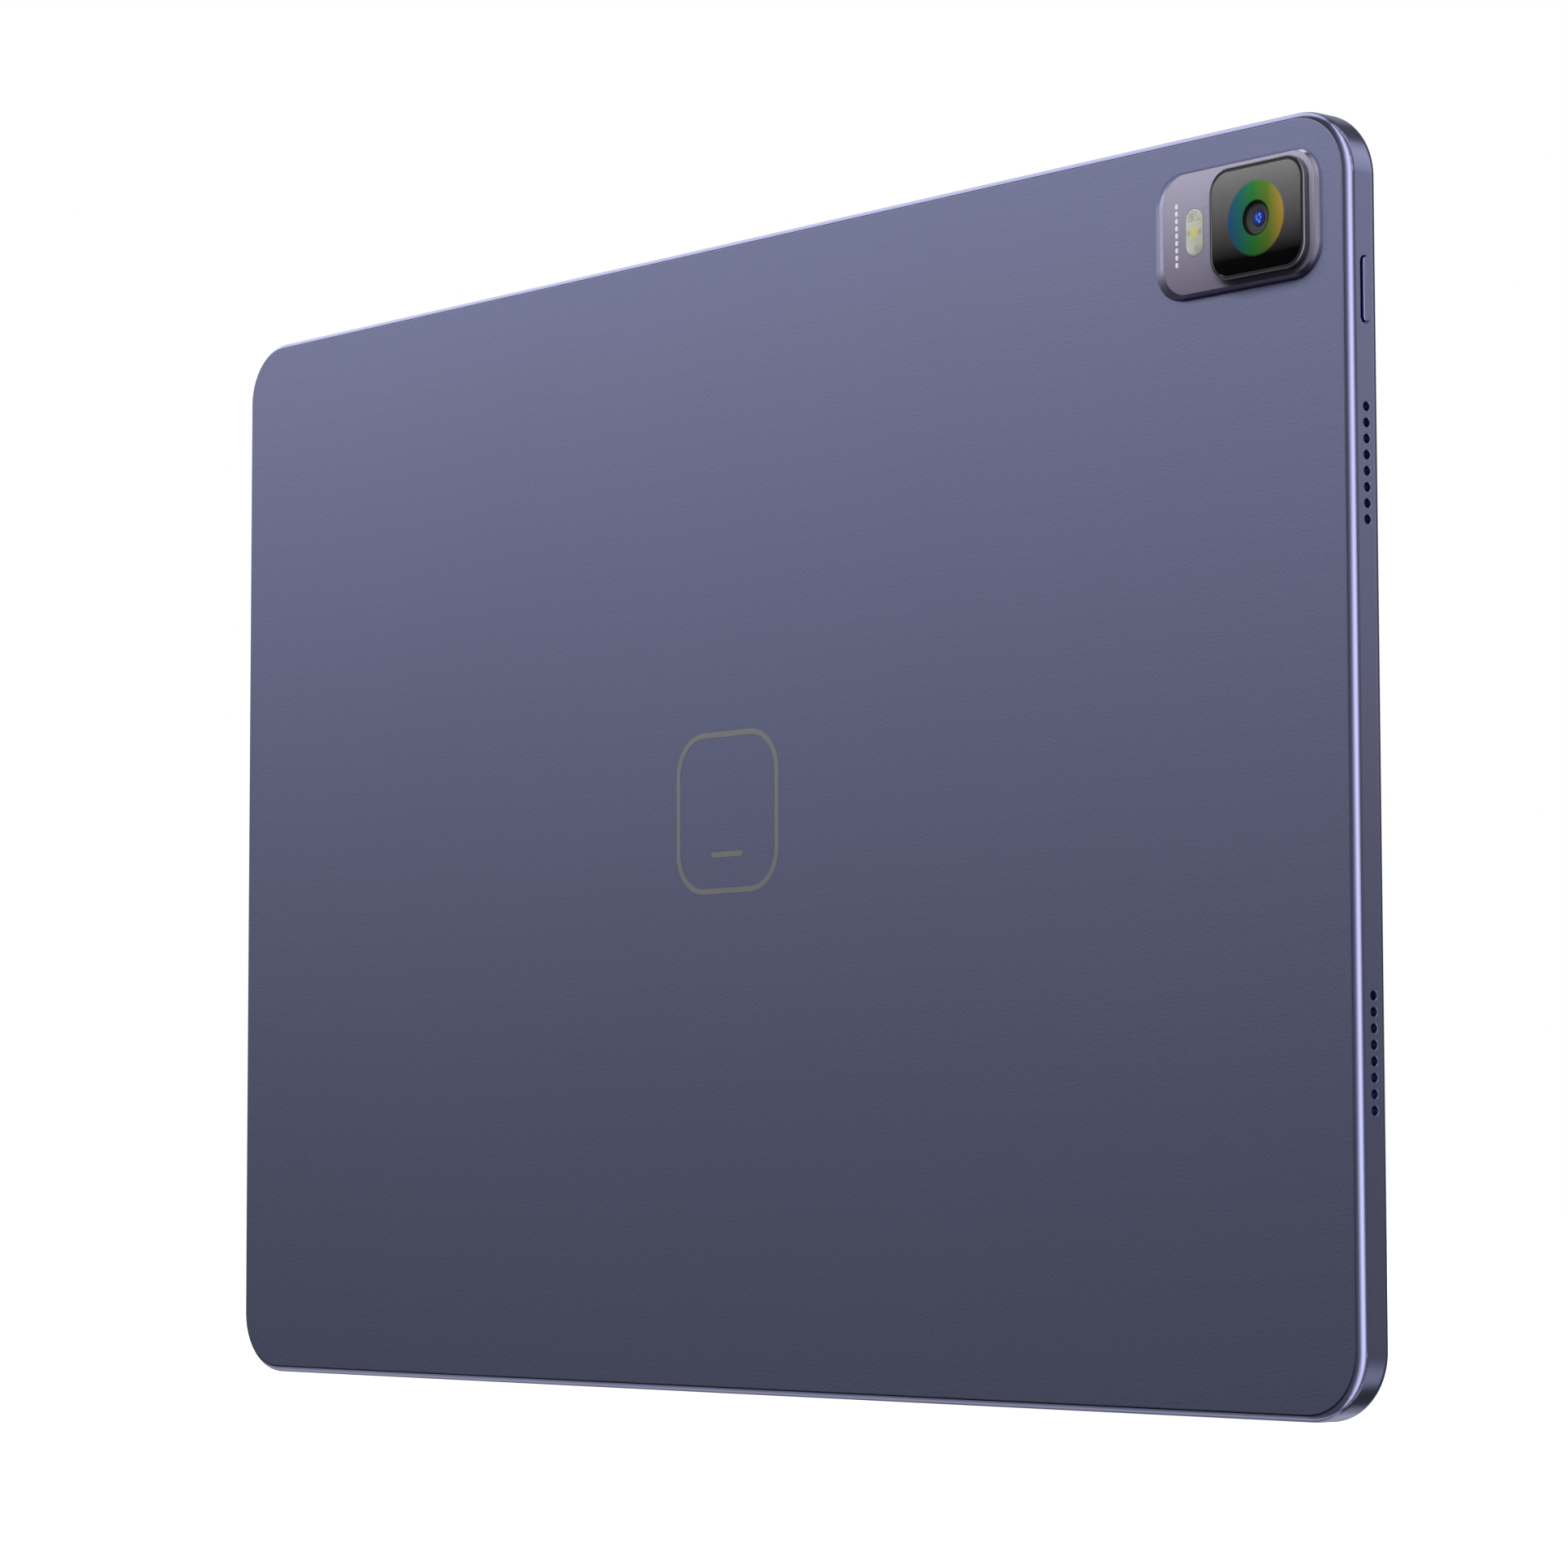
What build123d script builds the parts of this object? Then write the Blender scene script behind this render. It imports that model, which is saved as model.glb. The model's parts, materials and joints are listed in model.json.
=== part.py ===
from build123d import *
import os

# A slim tablet computer, standing on its long edge in landscape, seen from the back:
# +X is right, +Z is up, -Y is the back with the rear camera, and +Y is the screen.
# The origin is under the middle of the whole object, camera block included.
# A "depth" is a distance in millimetres from the back face towards the screen.

# Body
width = 279.0
height = 192.0
thickness = 6.9
corner_radius = 10.5
back_bevel = 1.6
front_bevel = 1.9
wall = 3.0
mid_z = height / 2

# Camera block, which stands out of the back
bump_height = 1.0
lens_block_height = 1.3
stand_out = bump_height + lens_block_height

# The back face's place, so that the whole object is centred on Y
back_y = -(thickness + stand_out) / 2 + stand_out

# Depths of the layers, from the back to the screen
cover_thickness = 0.7
cover_seat = 0.8
board_top = 3.0
board_thickness = 0.8
plate_back = 4.2
plate_front = 4.7
ledge_back = 5.4
glass_seat = 6.1
glass_back = 6.2
glass_edge = 0.5
side_mid = 3.55
side_y = back_y + side_mid

# Insets of the outlines from the body's outer edge
recess_inset = 0.93
cover_inset = 1.03
glass_recess_inset = 0.85
glass_inset = 0.95
step_inset = 7.4
screen_pocket_x = 8.0
screen_pocket_z = 7.5
screen_play = 0.2
screen_corner = 2.0

# Rear camera and flash
lens_x = 123.35
lens_z = 176.73
bump_x = 117.6
bump_width = 34.0
bump_height_z = 19.6
bump_top_x = 118.55
bump_top_width = 30.9
bump_top_height = 18.4
flash_x = 109.6
window_width = 3.5
window_length = 7.16
ring_width = 19.2
ring_length = 16.9
ring_corner = 3.8
glass_width = 17.9
glass_length = 15.5
glass_corner = 3.1
barrel_radius = 3.3
lens_radius = 2.3
camera_base_size = 12
image_sensor_width = 6.4
image_sensor_height = 4.8
focus_housing_size = 10.4
glass_sunk = 0.05
glass_pane = 0.8
mask_thickness = 0.1
channel_x = 113.0
channel_width = 3.0
channel_depth = 0.12
lens_opening = 2.45

# Power button on the right edge
power_z = 164.4
power_length = 9.6
button_width = 1.5
button_proud = 0.5
button_gap = 0.3

# Volume rocker on the top edge
rocker_x = 109.5
rocker_length = 21.8
rocker_pivot_z = 189.3
dome_spread = 8.0

# Speaker grilles, one pair on each short edge
grille_offset = 42.87
grille_holes = 8
grille_pitch = 2.37
grille_radius = 0.72

# Card tray and USB-C port on the left edge
tray_z = 117.5
tray_length = 13.2
tray_width = 1.9
tray_body_length = 12.2
port_length = 8.94
port_width = 3.26
port_wall = 0.3
port_depth = 6.7
port_x = -138.8

# Boards and cells
main_board_x = 3.0
main_board_z = 168.0
main_board_width = 190.0
main_board_height = 30.0
port_board_x = -122.05
port_board_width = 20.1
port_board_height = 24.0
cell_width = 92.0
cell_height = 120.0
cell_gap = 4.0
cell_z = 86.0
cell_back = 1.1
cell_front = 4.1

# Border above the screen, microphones and flat cables
border_z = 186.8
front_camera_x = 0
light_sensor_x = 12
side_microphone_z = 76
top_microphone_x = 70
sound_hole_radius = 0.45
film = 0.2
screen_cable_x = 60
screen_cable_z = 150
screen_cable_width = 26

# Screws: one size holds every board and speaker
screw_radius = 0.8
screw_head_radius = 1.4
screw_head = 0.5
screw_length = 1.55
boss_radius = 1.8
speaker_tab_x = 109.5
board_screws_at = [
    (-86, 157.5),
    (-86, 178.5),
    (-46, 157.5),
    (28, 157.5),
    (92, 157.5),
    (92, 178.5),
]
port_screws_at = [(-115, mid_z - 9), (-115, mid_z + 9)]
speaker_screws_at = [
    (side * speaker_tab_x, mid_z + level * (grille_offset + 3.6))
    for side in (-1, 1)
    for level in (-1, 1)
]

os.makedirs("parts", exist_ok=True)


def layer(depth):
    """A plane parallel to the back face at this depth, facing out of the back."""
    return Plane.XZ.offset(-(back_y + depth))


def save(piece, name):
    """Names a finished piece and writes its STEP file."""
    piece.part.label = name
    export_step(piece.part, f"parts/{name}.step")


def body_outline(inset):
    """The tablet's rounded outline, drawn in from its edge by the inset."""
    with Locations((0, mid_z)):
        RectangleRounded(width - 2 * inset, height - 2 * inset, corner_radius - inset)


def flat_block(x, z, size_x, size_z, back, front, corner=0.3):
    """A rounded block lying in the layers between two depths, with its centre at x, z."""
    with BuildPart() as block:
        with BuildSketch(layer(front)):
            with Locations((x, z)):
                RectangleRounded(size_x, size_z, corner)
        extrude(amount=front - back)
    return block


def flat_group(places, size_x, size_z, back, front, corner=0.3):
    """Equal rounded blocks, each at its own place, lying between two depths."""
    with BuildPart() as group:
        with BuildSketch(layer(front)):
            with Locations(*places):
                RectangleRounded(size_x, size_z, corner)
        extrude(amount=front - back)
    return group


# Frame: the milled rim, the plate that carries the boards, and the ledge under the glass
with BuildPart() as mid_frame:
    with BuildSketch(layer(thickness)):
        body_outline(0)
    extrude(amount=thickness)
    fillet(mid_frame.faces().sort_by(Axis.Y)[0].edges(), back_bevel)
    fillet(mid_frame.faces().sort_by(Axis.Y)[-1].edges(), front_bevel)
    # recess for the back cover, then the space for the cells and boards
    with BuildSketch(layer(0)):
        body_outline(recess_inset)
    extrude(amount=-cover_seat, mode=Mode.SUBTRACT)
    with BuildSketch(layer(cover_seat)):
        body_outline(wall)
    extrude(amount=cover_seat - ledge_back, mode=Mode.SUBTRACT)
    # raised floor that carries the boards
    with BuildSketch(layer(ledge_back)):
        with Locations((0, mid_z)):
            RectangleRounded(width - 2 * step_inset, height - 2 * step_inset, corner_radius / 2)
    extrude(amount=ledge_back - plate_back)
    # recess for the front glass, and the pocket for the screen behind it
    with BuildSketch(layer(thickness)):
        body_outline(glass_recess_inset)
    extrude(amount=thickness - glass_seat, mode=Mode.SUBTRACT)
    with BuildSketch(layer(glass_seat)):
        with Locations((0, mid_z)):
            RectangleRounded(width - 2 * screen_pocket_x, height - 2 * screen_pocket_z, screen_corner)
    extrude(amount=glass_seat - plate_front, mode=Mode.SUBTRACT)
    # speaker holes through both short walls
    for wall_start in (width / 2 - wall - 0.2, -width / 2 - 0.2):
        with BuildSketch(Plane.YZ.offset(wall_start)):
            with Locations((side_y, mid_z - grille_offset), (side_y, mid_z + grille_offset)):
                with GridLocations(0, grille_pitch, 1, grille_holes):
                    Circle(grille_radius)
        extrude(amount=wall + 0.4, mode=Mode.SUBTRACT)
    # power button: slot through the right wall and a pocket for its flange
    with BuildSketch(Plane.YZ.offset(width / 2 - wall - 0.1)):
        with Locations((side_y, power_z)):
            SlotOverall(power_length + 2 * button_gap, button_width + 0.5, rotation=90)
    extrude(amount=wall + 0.2, mode=Mode.SUBTRACT)
    with BuildSketch(Plane.YZ.offset(width / 2 - wall - 0.1)):
        with Locations((side_y, power_z)):
            Rectangle(2.7, power_length + 2.8)
    extrude(amount=1.5, mode=Mode.SUBTRACT)
    # volume rocker: slot through the top wall and a pocket for its flange
    with BuildSketch(Plane.XY.offset(height - wall - 0.1)):
        with Locations((rocker_x, side_y)):
            SlotOverall(rocker_length + 2 * button_gap, button_width + 0.5)
    extrude(amount=wall + 0.2, mode=Mode.SUBTRACT)
    with BuildSketch(Plane.XY.offset(height - wall - 0.1)):
        with Locations((rocker_x, side_y)):
            Rectangle(rocker_length + 2.8, 2.7)
    extrude(amount=1.55, mode=Mode.SUBTRACT)
    # card tray: a wide mouth for its face and a thinner slot for its body
    with BuildSketch(Plane.YZ.offset(-width / 2 - 0.1)):
        with Locations((side_y, tray_z)):
            SlotOverall(tray_length + 0.2, tray_width + 0.2, rotation=90)
    extrude(amount=1.6, mode=Mode.SUBTRACT)
    with BuildSketch(Plane.YZ.offset(-width / 2)):
        with Locations((side_y - 0.1, tray_z)):
            Rectangle(1.3, tray_body_length + 0.4)
    extrude(amount=wall + 0.1, mode=Mode.SUBTRACT)
    # USB-C mouth and the side microphone's hole, through the left wall
    with BuildSketch(Plane.YZ.offset(-width / 2 - 0.1)):
        with Locations((side_y, mid_z)):
            SlotOverall(port_length + 0.3, port_width + 0.3, rotation=90)
        with Locations((side_y, side_microphone_z)):
            Circle(sound_hole_radius)
    extrude(amount=wall + 0.2, mode=Mode.SUBTRACT)
    # top microphone's hole
    with BuildSketch(Plane.XY.offset(height - wall - 0.1)):
        with Locations((top_microphone_x, side_y)):
            Circle(sound_hole_radius)
    extrude(amount=wall + 0.2, mode=Mode.SUBTRACT)
    # sight holes through the ledge for the front camera and the light sensor
    with BuildSketch(layer(glass_seat)):
        with Locations((front_camera_x, border_z)):
            Circle(1.5)
        with Locations((light_sensor_x, border_z)):
            Circle(0.8)
    extrude(amount=glass_seat - ledge_back, mode=Mode.SUBTRACT)
    # slot through the plate for the screen's flat cable
    with BuildSketch(layer(plate_front)):
        with Locations((screen_cable_x, screen_cable_z)):
            RectangleRounded(screen_cable_width + 3, 2.4, 1)
    extrude(amount=plate_front - plate_back, mode=Mode.SUBTRACT)
    # bosses under the boards and speaker tabs, each with a tapped hole
    with BuildSketch(layer(plate_back)):
        with Locations(*board_screws_at, *port_screws_at, *speaker_screws_at):
            Circle(boss_radius)
    extrude(amount=plate_back - board_top - board_thickness)
    with BuildSketch(layer(board_top + board_thickness)):
        with Locations(*board_screws_at, *port_screws_at, *speaker_screws_at):
            Circle(screw_radius + 0.03)
    extrude(amount=-board_thickness, mode=Mode.SUBTRACT)
save(mid_frame, "mid_frame")

# Back cover: a flat panel with a fine chamfer, and holes behind the camera and the flash
with BuildPart() as back_cover:
    with BuildSketch(layer(cover_thickness)):
        body_outline(cover_inset)
    extrude(amount=cover_thickness)
    chamfer(back_cover.faces().sort_by(Axis.Y)[0].edges(), 0.15)
    with BuildSketch(layer(0)):
        with Locations((lens_x, lens_z)):
            Circle(barrel_radius + 0.7)
        with Locations((flash_x, lens_z)):
            SlotOverall(window_length - 0.4, window_width - 0.3, rotation=90)
    extrude(amount=-cover_thickness, mode=Mode.SUBTRACT)
save(back_cover, "back_cover")

# Adhesive ring that holds the cover to the rim
with BuildPart() as cover_adhesive:
    with BuildSketch(layer(cover_seat)):
        body_outline(cover_inset + 0.2)
        with Locations((0, mid_z)):
            RectangleRounded(width - 5.8, height - 5.8, 7.6, mode=Mode.SUBTRACT)
    extrude(amount=cover_seat - cover_thickness)
save(cover_adhesive, "cover_adhesive")

# Camera bezel: a wide slope at its left, and steep walls under a bevel on its other sides,
# with a seat for the gloss plate. An outline is a depth, a middle X, a length, a height and a corner radius.
bezel_outlines = [
    (0, bump_x, bump_width, bump_height_z, 5.4),
    (-0.55 * bump_height, 118.2, 32.6, 19.1, 5.1),
    (-bump_height, bump_top_x, bump_top_width, bump_top_height, 4.6),
]
with BuildPart() as camera_bezel:
    for depth, middle_x, length, outline_height, corner in bezel_outlines:
        with BuildSketch(layer(depth)):
            with Locations((middle_x, lens_z)):
                RectangleRounded(length, outline_height, corner)
    loft(ruled=True)
    with BuildSketch(layer(-bump_height)):
        with Locations((bump_top_x, lens_z)):
            RectangleRounded(bump_top_width - 0.5, bump_top_height - 0.5, 4.35)
    extrude(amount=-bump_height / 2, mode=Mode.SUBTRACT)
    with BuildSketch(layer(0)):
        with Locations((lens_x, lens_z)):
            Circle(barrel_radius + 0.6)
        with Locations((flash_x, lens_z)):
            SlotOverall(window_length - 0.7, window_width - 0.6, rotation=90)
    extrude(amount=bump_height, mode=Mode.SUBTRACT)
save(camera_bezel, "camera_bezel")

# Gloss plate let into the bezel, with a shallow channel from the flash to the lens block
with BuildPart() as camera_plate:
    with BuildSketch(layer(-bump_height / 2)):
        with Locations((bump_top_x, lens_z)):
            RectangleRounded(bump_top_width - 0.6, bump_top_height - 0.6, 4.3)
        with Locations((lens_x, lens_z)):
            Circle(barrel_radius + 0.6, mode=Mode.SUBTRACT)
        with Locations((flash_x, lens_z)):
            SlotOverall(window_length + 0.1, window_width + 0.1, rotation=90, mode=Mode.SUBTRACT)
    extrude(amount=bump_height / 2)
    with BuildSketch(layer(-bump_height)):
        with Locations((channel_x, lens_z)):
            RectangleRounded(channel_width, window_length, 0.4)
    extrude(amount=-channel_depth, mode=Mode.SUBTRACT)
save(camera_plate, "camera_plate")

# Lens ring: the raised square frame round the camera's cover glass
with BuildPart() as lens_ring:
    with BuildSketch(layer(-bump_height)):
        with Locations((lens_x, lens_z)):
            RectangleRounded(ring_width, ring_length, ring_corner)
    extrude(amount=lens_block_height)
    fillet(lens_ring.faces().sort_by(Axis.Y)[0].edges(), 0.4)
    with BuildSketch(layer(-stand_out)):
        with Locations((lens_x, lens_z)):
            RectangleRounded(glass_width + 0.1, glass_length + 0.1, glass_corner + 0.05)
    extrude(amount=-(glass_sunk + glass_pane + mask_thickness), mode=Mode.SUBTRACT)
    rim_face = lens_ring.faces().sort_by(Axis.Y)[0]
    chamfer(rim_face.inner_wires()[0].edges(), 0.12)
    with BuildSketch(layer(-bump_height)):
        with Locations((lens_x, lens_z)):
            Circle(barrel_radius + 0.3)
    extrude(amount=lens_block_height, mode=Mode.SUBTRACT)
save(lens_ring, "lens_ring")

# Black mask under the cover glass, with the window that the lens looks through
with BuildPart() as lens_mask:
    with BuildSketch(layer(-stand_out + glass_sunk + glass_pane + mask_thickness)):
        with Locations((lens_x, lens_z)):
            RectangleRounded(glass_width, glass_length, glass_corner)
            Circle(lens_opening, mode=Mode.SUBTRACT)
    extrude(amount=mask_thickness)
save(lens_mask, "lens_mask")

with BuildPart() as lens_cover_glass:
    with BuildSketch(layer(-stand_out + glass_sunk + glass_pane)):
        with Locations((lens_x, lens_z)):
            RectangleRounded(glass_width, glass_length, glass_corner)
    extrude(amount=glass_pane)
    chamfer(lens_cover_glass.faces().sort_by(Axis.Y)[0].edges(), 0.1)
save(lens_cover_glass, "lens_cover_glass")

# Camera module: circuit base, sensor, focus housing, and the barrel that moves to focus
camera_base = flat_block(lens_x, lens_z, camera_base_size, camera_base_size, 3.7, plate_back)
save(camera_base, "camera_base")

image_sensor = flat_block(lens_x, lens_z, image_sensor_width, image_sensor_height, 3.4, 3.7, 0.2)
save(image_sensor, "image_sensor")

with BuildPart() as focus_housing:
    with BuildSketch(layer(3.7)):
        with Locations((lens_x, lens_z)):
            RectangleRounded(focus_housing_size, focus_housing_size, 1)
            Circle(barrel_radius + 0.2, mode=Mode.SUBTRACT)
    extrude(amount=2.85)
    with BuildSketch(layer(3.7)):
        with Locations((lens_x, lens_z)):
            Rectangle(focus_housing_size - 2, focus_housing_size - 2)
    extrude(amount=0.6, mode=Mode.SUBTRACT)
save(focus_housing, "focus_housing")

with BuildPart() as lens_barrel:
    with BuildSketch(layer(3.0)):
        with Locations((lens_x, lens_z)):
            Circle(barrel_radius)
            Circle(lens_radius, mode=Mode.SUBTRACT)
    extrude(amount=3.0 + bump_height)
    front_rim = lens_barrel.faces().sort_by(Axis.Y)[0].edges().sort_by(SortBy.RADIUS)[0]
    chamfer(front_rim, 0.4)
save(lens_barrel, "lens_barrel")

# Lens stack in the barrel: one solid with a domed front
with BuildPart() as lens_stack:
    with BuildSketch(layer(2.7)):
        with Locations((lens_x, lens_z)):
            Circle(lens_radius)
    extrude(amount=2.7)
    with BuildSketch(layer(0)):
        with Locations((lens_x, lens_z)):
            Circle(lens_radius - 0.4)
    extrude(amount=0.5)
    fillet(lens_stack.faces().sort_by(Axis.Y)[0].edges(), 0.45)
save(lens_stack, "lens_stack")

# Flash: fluted window, lamp and its flat cable to the main board
with BuildPart() as flash_window:
    with BuildSketch(layer(-bump_height / 2)):
        with Locations((flash_x, lens_z)):
            SlotOverall(window_length, window_width, rotation=90)
    extrude(amount=0.55)
    fillet(flash_window.faces().sort_by(Axis.Y)[0].edges(), 0.12)
save(flash_window, "flash_window")

flash_lamp = flat_block(flash_x, lens_z, 2.2, 4.4, -0.3, cover_thickness, 0.2)
save(flash_lamp, "flash_lamp")

with BuildPart() as flash_cable:
    with BuildSketch(layer(cover_thickness + 0.15)):
        with Locations((104.0, lens_z)):
            Rectangle(16, 3)
    extrude(amount=0.15)
    with BuildSketch(layer(board_top)):
        with Locations((96.1, lens_z)):
            Rectangle(0.2, 3)
    extrude(amount=board_top - cover_thickness)
save(flash_cable, "flash_cable")

# Power button: a long rounded cap on a flange that keeps it in, with a nub for its switch
flange_x = width / 2 - 2.2
with BuildPart() as power_button:
    with BuildSketch(Plane.YZ.offset(flange_x)):
        with Locations((side_y, power_z)):
            RectangleRounded(2.3, power_length + 2.0, 0.4)
    extrude(amount=0.5)
    with BuildSketch(Plane.YZ.offset(flange_x + 0.5)):
        with Locations((side_y, power_z)):
            SlotOverall(power_length, button_width, rotation=90)
    extrude(amount=width / 2 + button_proud - flange_x - 0.5)
    fillet(power_button.faces().sort_by(Axis.X)[-1].edges(), 0.16)
    with BuildSketch(Plane.YZ.offset(flange_x)):
        with Locations((side_y, power_z)):
            Circle(0.5)
    extrude(amount=-0.85)
save(power_button, "power_button")

with BuildPart() as power_switch:
    with BuildSketch(Plane.YZ.offset(134.7)):
        with Locations((back_y + (2.3 + ledge_back) / 2, power_z)):
            Rectangle(ledge_back - 2.3, 12)
    extrude(amount=1.2)
    with BuildSketch(Plane.YZ.offset(135.9)):
        with Locations((side_y, power_z)):
            Circle(1.2)
    extrude(amount=0.2)
save(power_switch, "power_switch")

power_cable = flat_block(112.35, 162.5, 44.7, 5, plate_back - 0.2, plate_back, 0.4)
save(power_cable, "power_cable")

# Volume rocker: a long cap that tips about a rib, over two switches
flange_z = rocker_pivot_z + 0.32
with BuildPart() as volume_rocker:
    with BuildSketch(Plane.XY.offset(flange_z)):
        with Locations((rocker_x, side_y)):
            RectangleRounded(rocker_length + 2.0, 2.3, 0.4)
    extrude(amount=0.5)
    with BuildSketch(Plane.XY.offset(flange_z + 0.5)):
        with Locations((rocker_x, side_y)):
            SlotOverall(rocker_length, button_width)
    extrude(amount=height + button_proud - flange_z - 0.5)
    fillet(volume_rocker.faces().sort_by(Axis.Z)[-1].edges(), 0.16)
    with BuildSketch(Plane.XZ.offset(-side_y - 0.9)):
        with Locations((rocker_x, rocker_pivot_z)):
            Circle(0.5)
        with Locations((rocker_x, rocker_pivot_z + 0.2)):
            Rectangle(0.7, 0.4)
    extrude(amount=1.8)
    with BuildSketch(Plane.XY.offset(flange_z)):
        with Locations((rocker_x - dome_spread, side_y), (rocker_x + dome_spread, side_y)):
            Circle(0.4)
    extrude(amount=-0.37)
save(volume_rocker, "volume_rocker")

with BuildPart() as rocker_cradle:
    with BuildSketch(layer(ledge_back)):
        with Locations((rocker_x, 187.1)):
            Rectangle(22.4, 1.0)
    extrude(amount=ledge_back - 2.3)
    with BuildSketch(layer(4.8)):
        with Locations((rocker_x, 188.4)):
            Rectangle(2.4, 1.7)
        with Locations((rocker_x, rocker_pivot_z)):
            Circle(0.55, mode=Mode.SUBTRACT)
    extrude(amount=2.5)
save(rocker_cradle, "rocker_cradle")

with BuildPart() as rocker_switches:
    with BuildSketch(Plane.XY.offset(187.6)):
        with Locations((rocker_x - dome_spread, side_y), (rocker_x + dome_spread, side_y)):
            RectangleRounded(3.2, 2.4, 0.3)
    extrude(amount=1.2)
    with BuildSketch(Plane.XY.offset(188.8)):
        with Locations((rocker_x - dome_spread, side_y), (rocker_x + dome_spread, side_y)):
            Circle(1.0)
    extrude(amount=0.2)
save(rocker_switches, "rocker_switches")

with BuildPart() as rocker_cable:
    with BuildSketch(layer(plate_back)):
        with Locations((101, 176.3)):
            Rectangle(4, 20.6)
        with Locations((96, 168)):
            Rectangle(12, 4)
    extrude(amount=film)
save(rocker_cable, "rocker_cable")

# Card tray and the reader that it slides into
with BuildPart() as card_tray:
    with BuildSketch(Plane.YZ.offset(-width / 2)):
        with Locations((side_y, tray_z)):
            SlotOverall(tray_length, tray_width, rotation=90)
        with Locations((side_y, tray_z + 4.6)):
            Circle(0.45, mode=Mode.SUBTRACT)
    extrude(amount=1.2)
    with BuildSketch(layer(3.95)):
        with Locations((-129.9, tray_z)):
            RectangleRounded(16.8, tray_body_length, 0.3)
        with Locations((-129.8, tray_z)):
            RectangleRounded(14.8, 11.0, 0.4, mode=Mode.SUBTRACT)
    extrude(amount=1.0)
save(card_tray, "card_tray")

with BuildPart() as card_reader:
    with BuildSketch(layer(plate_back)):
        with Locations((-127.0, tray_z)):
            RectangleRounded(15, 15.8, 0.5)
    extrude(amount=plate_back - 2.5)
    with BuildSketch(layer(4.05)):
        with Locations((-128.2, tray_z)):
            Rectangle(15, 12.6)
    extrude(amount=1.2, mode=Mode.SUBTRACT)
save(card_reader, "card_reader")

# USB-C port: a drawn steel shell, and the tongue that carries its contacts
with BuildPart() as port_shell:
    with BuildSketch(Plane.YZ.offset(port_x)):
        with Locations((side_y, mid_z)):
            SlotOverall(port_length, port_width, rotation=90)
    extrude(amount=port_depth)
    with BuildSketch(Plane.YZ.offset(port_x)):
        with Locations((side_y, mid_z)):
            SlotOverall(port_length - 2 * port_wall, port_width - 2 * port_wall, rotation=90)
    extrude(amount=port_depth - 0.9, mode=Mode.SUBTRACT)
save(port_shell, "port_shell")

with BuildPart() as port_tongue:
    with BuildSketch(Plane.YZ.offset(port_x + 0.6)):
        with Locations((side_y, mid_z)):
            Rectangle(0.7, 6.69)
    extrude(amount=port_depth - 1.5)
    fillet(port_tongue.edges().filter_by(Axis.Y).sort_by(Axis.X)[:2], 0.4)
save(port_tongue, "port_tongue")

board_front = board_top + board_thickness
with BuildPart() as port_board:
    with BuildSketch(layer(board_front)):
        with Locations((port_board_x, mid_z)):
            Rectangle(port_board_width, port_board_height)
        with Locations(*port_screws_at):
            Circle(screw_radius + 0.1, mode=Mode.SUBTRACT)
    extrude(amount=board_thickness)
save(port_board, "port_board")

# Flat cable from the port board up to the main board, behind the left cell
with BuildPart() as port_cable:
    with BuildSketch(layer(plate_back)):
        with Locations((-103, 122)):
            RectangleRounded(6, 72, 1)
        with Locations((-95, 155.5)):
            Rectangle(14, 5)
        with Locations((-109, mid_z)):
            Rectangle(12, 6)
    extrude(amount=film)
save(port_cable, "port_cable")

# Main board with its chips, cans and sockets
with BuildPart() as main_board:
    with BuildSketch(layer(board_front)):
        with Locations((main_board_x, main_board_z)):
            RectangleRounded(main_board_width, main_board_height, 1.5)
        with Locations(*board_screws_at):
            Circle(screw_radius + 0.1, mode=Mode.SUBTRACT)
    extrude(amount=board_thickness)
save(main_board, "main_board")

# chips: place, then length and height, and all stand 1 mm on the board
chips = [
    (-18, 168, 15, 15),
    (-1, 172, 11, 13),
    (12, 172, 11.5, 13),
    (4, 160, 7, 7),
    (48, 169, 9, 9),
    (56, 162, 4, 5),
]
with BuildPart() as board_chips:
    with BuildSketch(layer(board_top)):
        for chip_x, chip_z, chip_length, chip_height in chips:
            with Locations((chip_x, chip_z)):
                Rectangle(chip_length, chip_height)
    extrude(amount=1.0)
save(board_chips, "board_chips")


def shield_can(x, size_x):
    """A thin drawn can, open towards the board."""
    with BuildPart() as can:
        with BuildSketch(layer(board_top)):
            with Locations((x, 168)):
                RectangleRounded(size_x, 24, 0.8)
        extrude(amount=1.6)
        with BuildSketch(layer(board_top)):
            with Locations((x, 168)):
                RectangleRounded(size_x - 0.4, 23.6, 0.6)
        extrude(amount=1.4, mode=Mode.SUBTRACT)
    return can


processor_can = shield_can(-4, 52)
save(processor_can, "processor_can")

radio_can = shield_can(49, 28)
save(radio_can, "radio_can")

board_sockets = flat_group([(-70, 166), (-58, 176), (72, 160), (76, 172)], 8, 2.6, 2.2, board_top)
save(board_sockets, "board_sockets")

heat_spreader = flat_block(-4, 168, 66, 28, 1.3, 1.4, 1.0)
save(heat_spreader, "heat_spreader")

# Two pouch cells on adhesive pads, joined by a protection board
for name, side in (("battery_cell_left", -1), ("battery_cell_right", 1)):
    cell_x = side * (cell_width + cell_gap) / 2
    cell = flat_block(cell_x, cell_z, cell_width, cell_height, cell_back, cell_front, 2.0)
    save(cell, name)

pad_x = (cell_width + cell_gap) / 2
battery_pads = flat_group([(-pad_x, cell_z), (pad_x, cell_z)], 78, 100, cell_front, plate_back)
save(battery_pads, "battery_pads")

battery_board = flat_block(0, cell_z + cell_height / 2 + 2.7, 80, 5.4, 3.4, plate_back)
save(battery_board, "battery_board")

battery_cable = flat_block(0, 150, 24, 6, 3.2, 3.4, 0.4)
save(battery_cable, "battery_cable")

# Speakers: a chamber on the plate, a nose with the sound outlet, and a screw tab
speaker_height = 28.0


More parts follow.
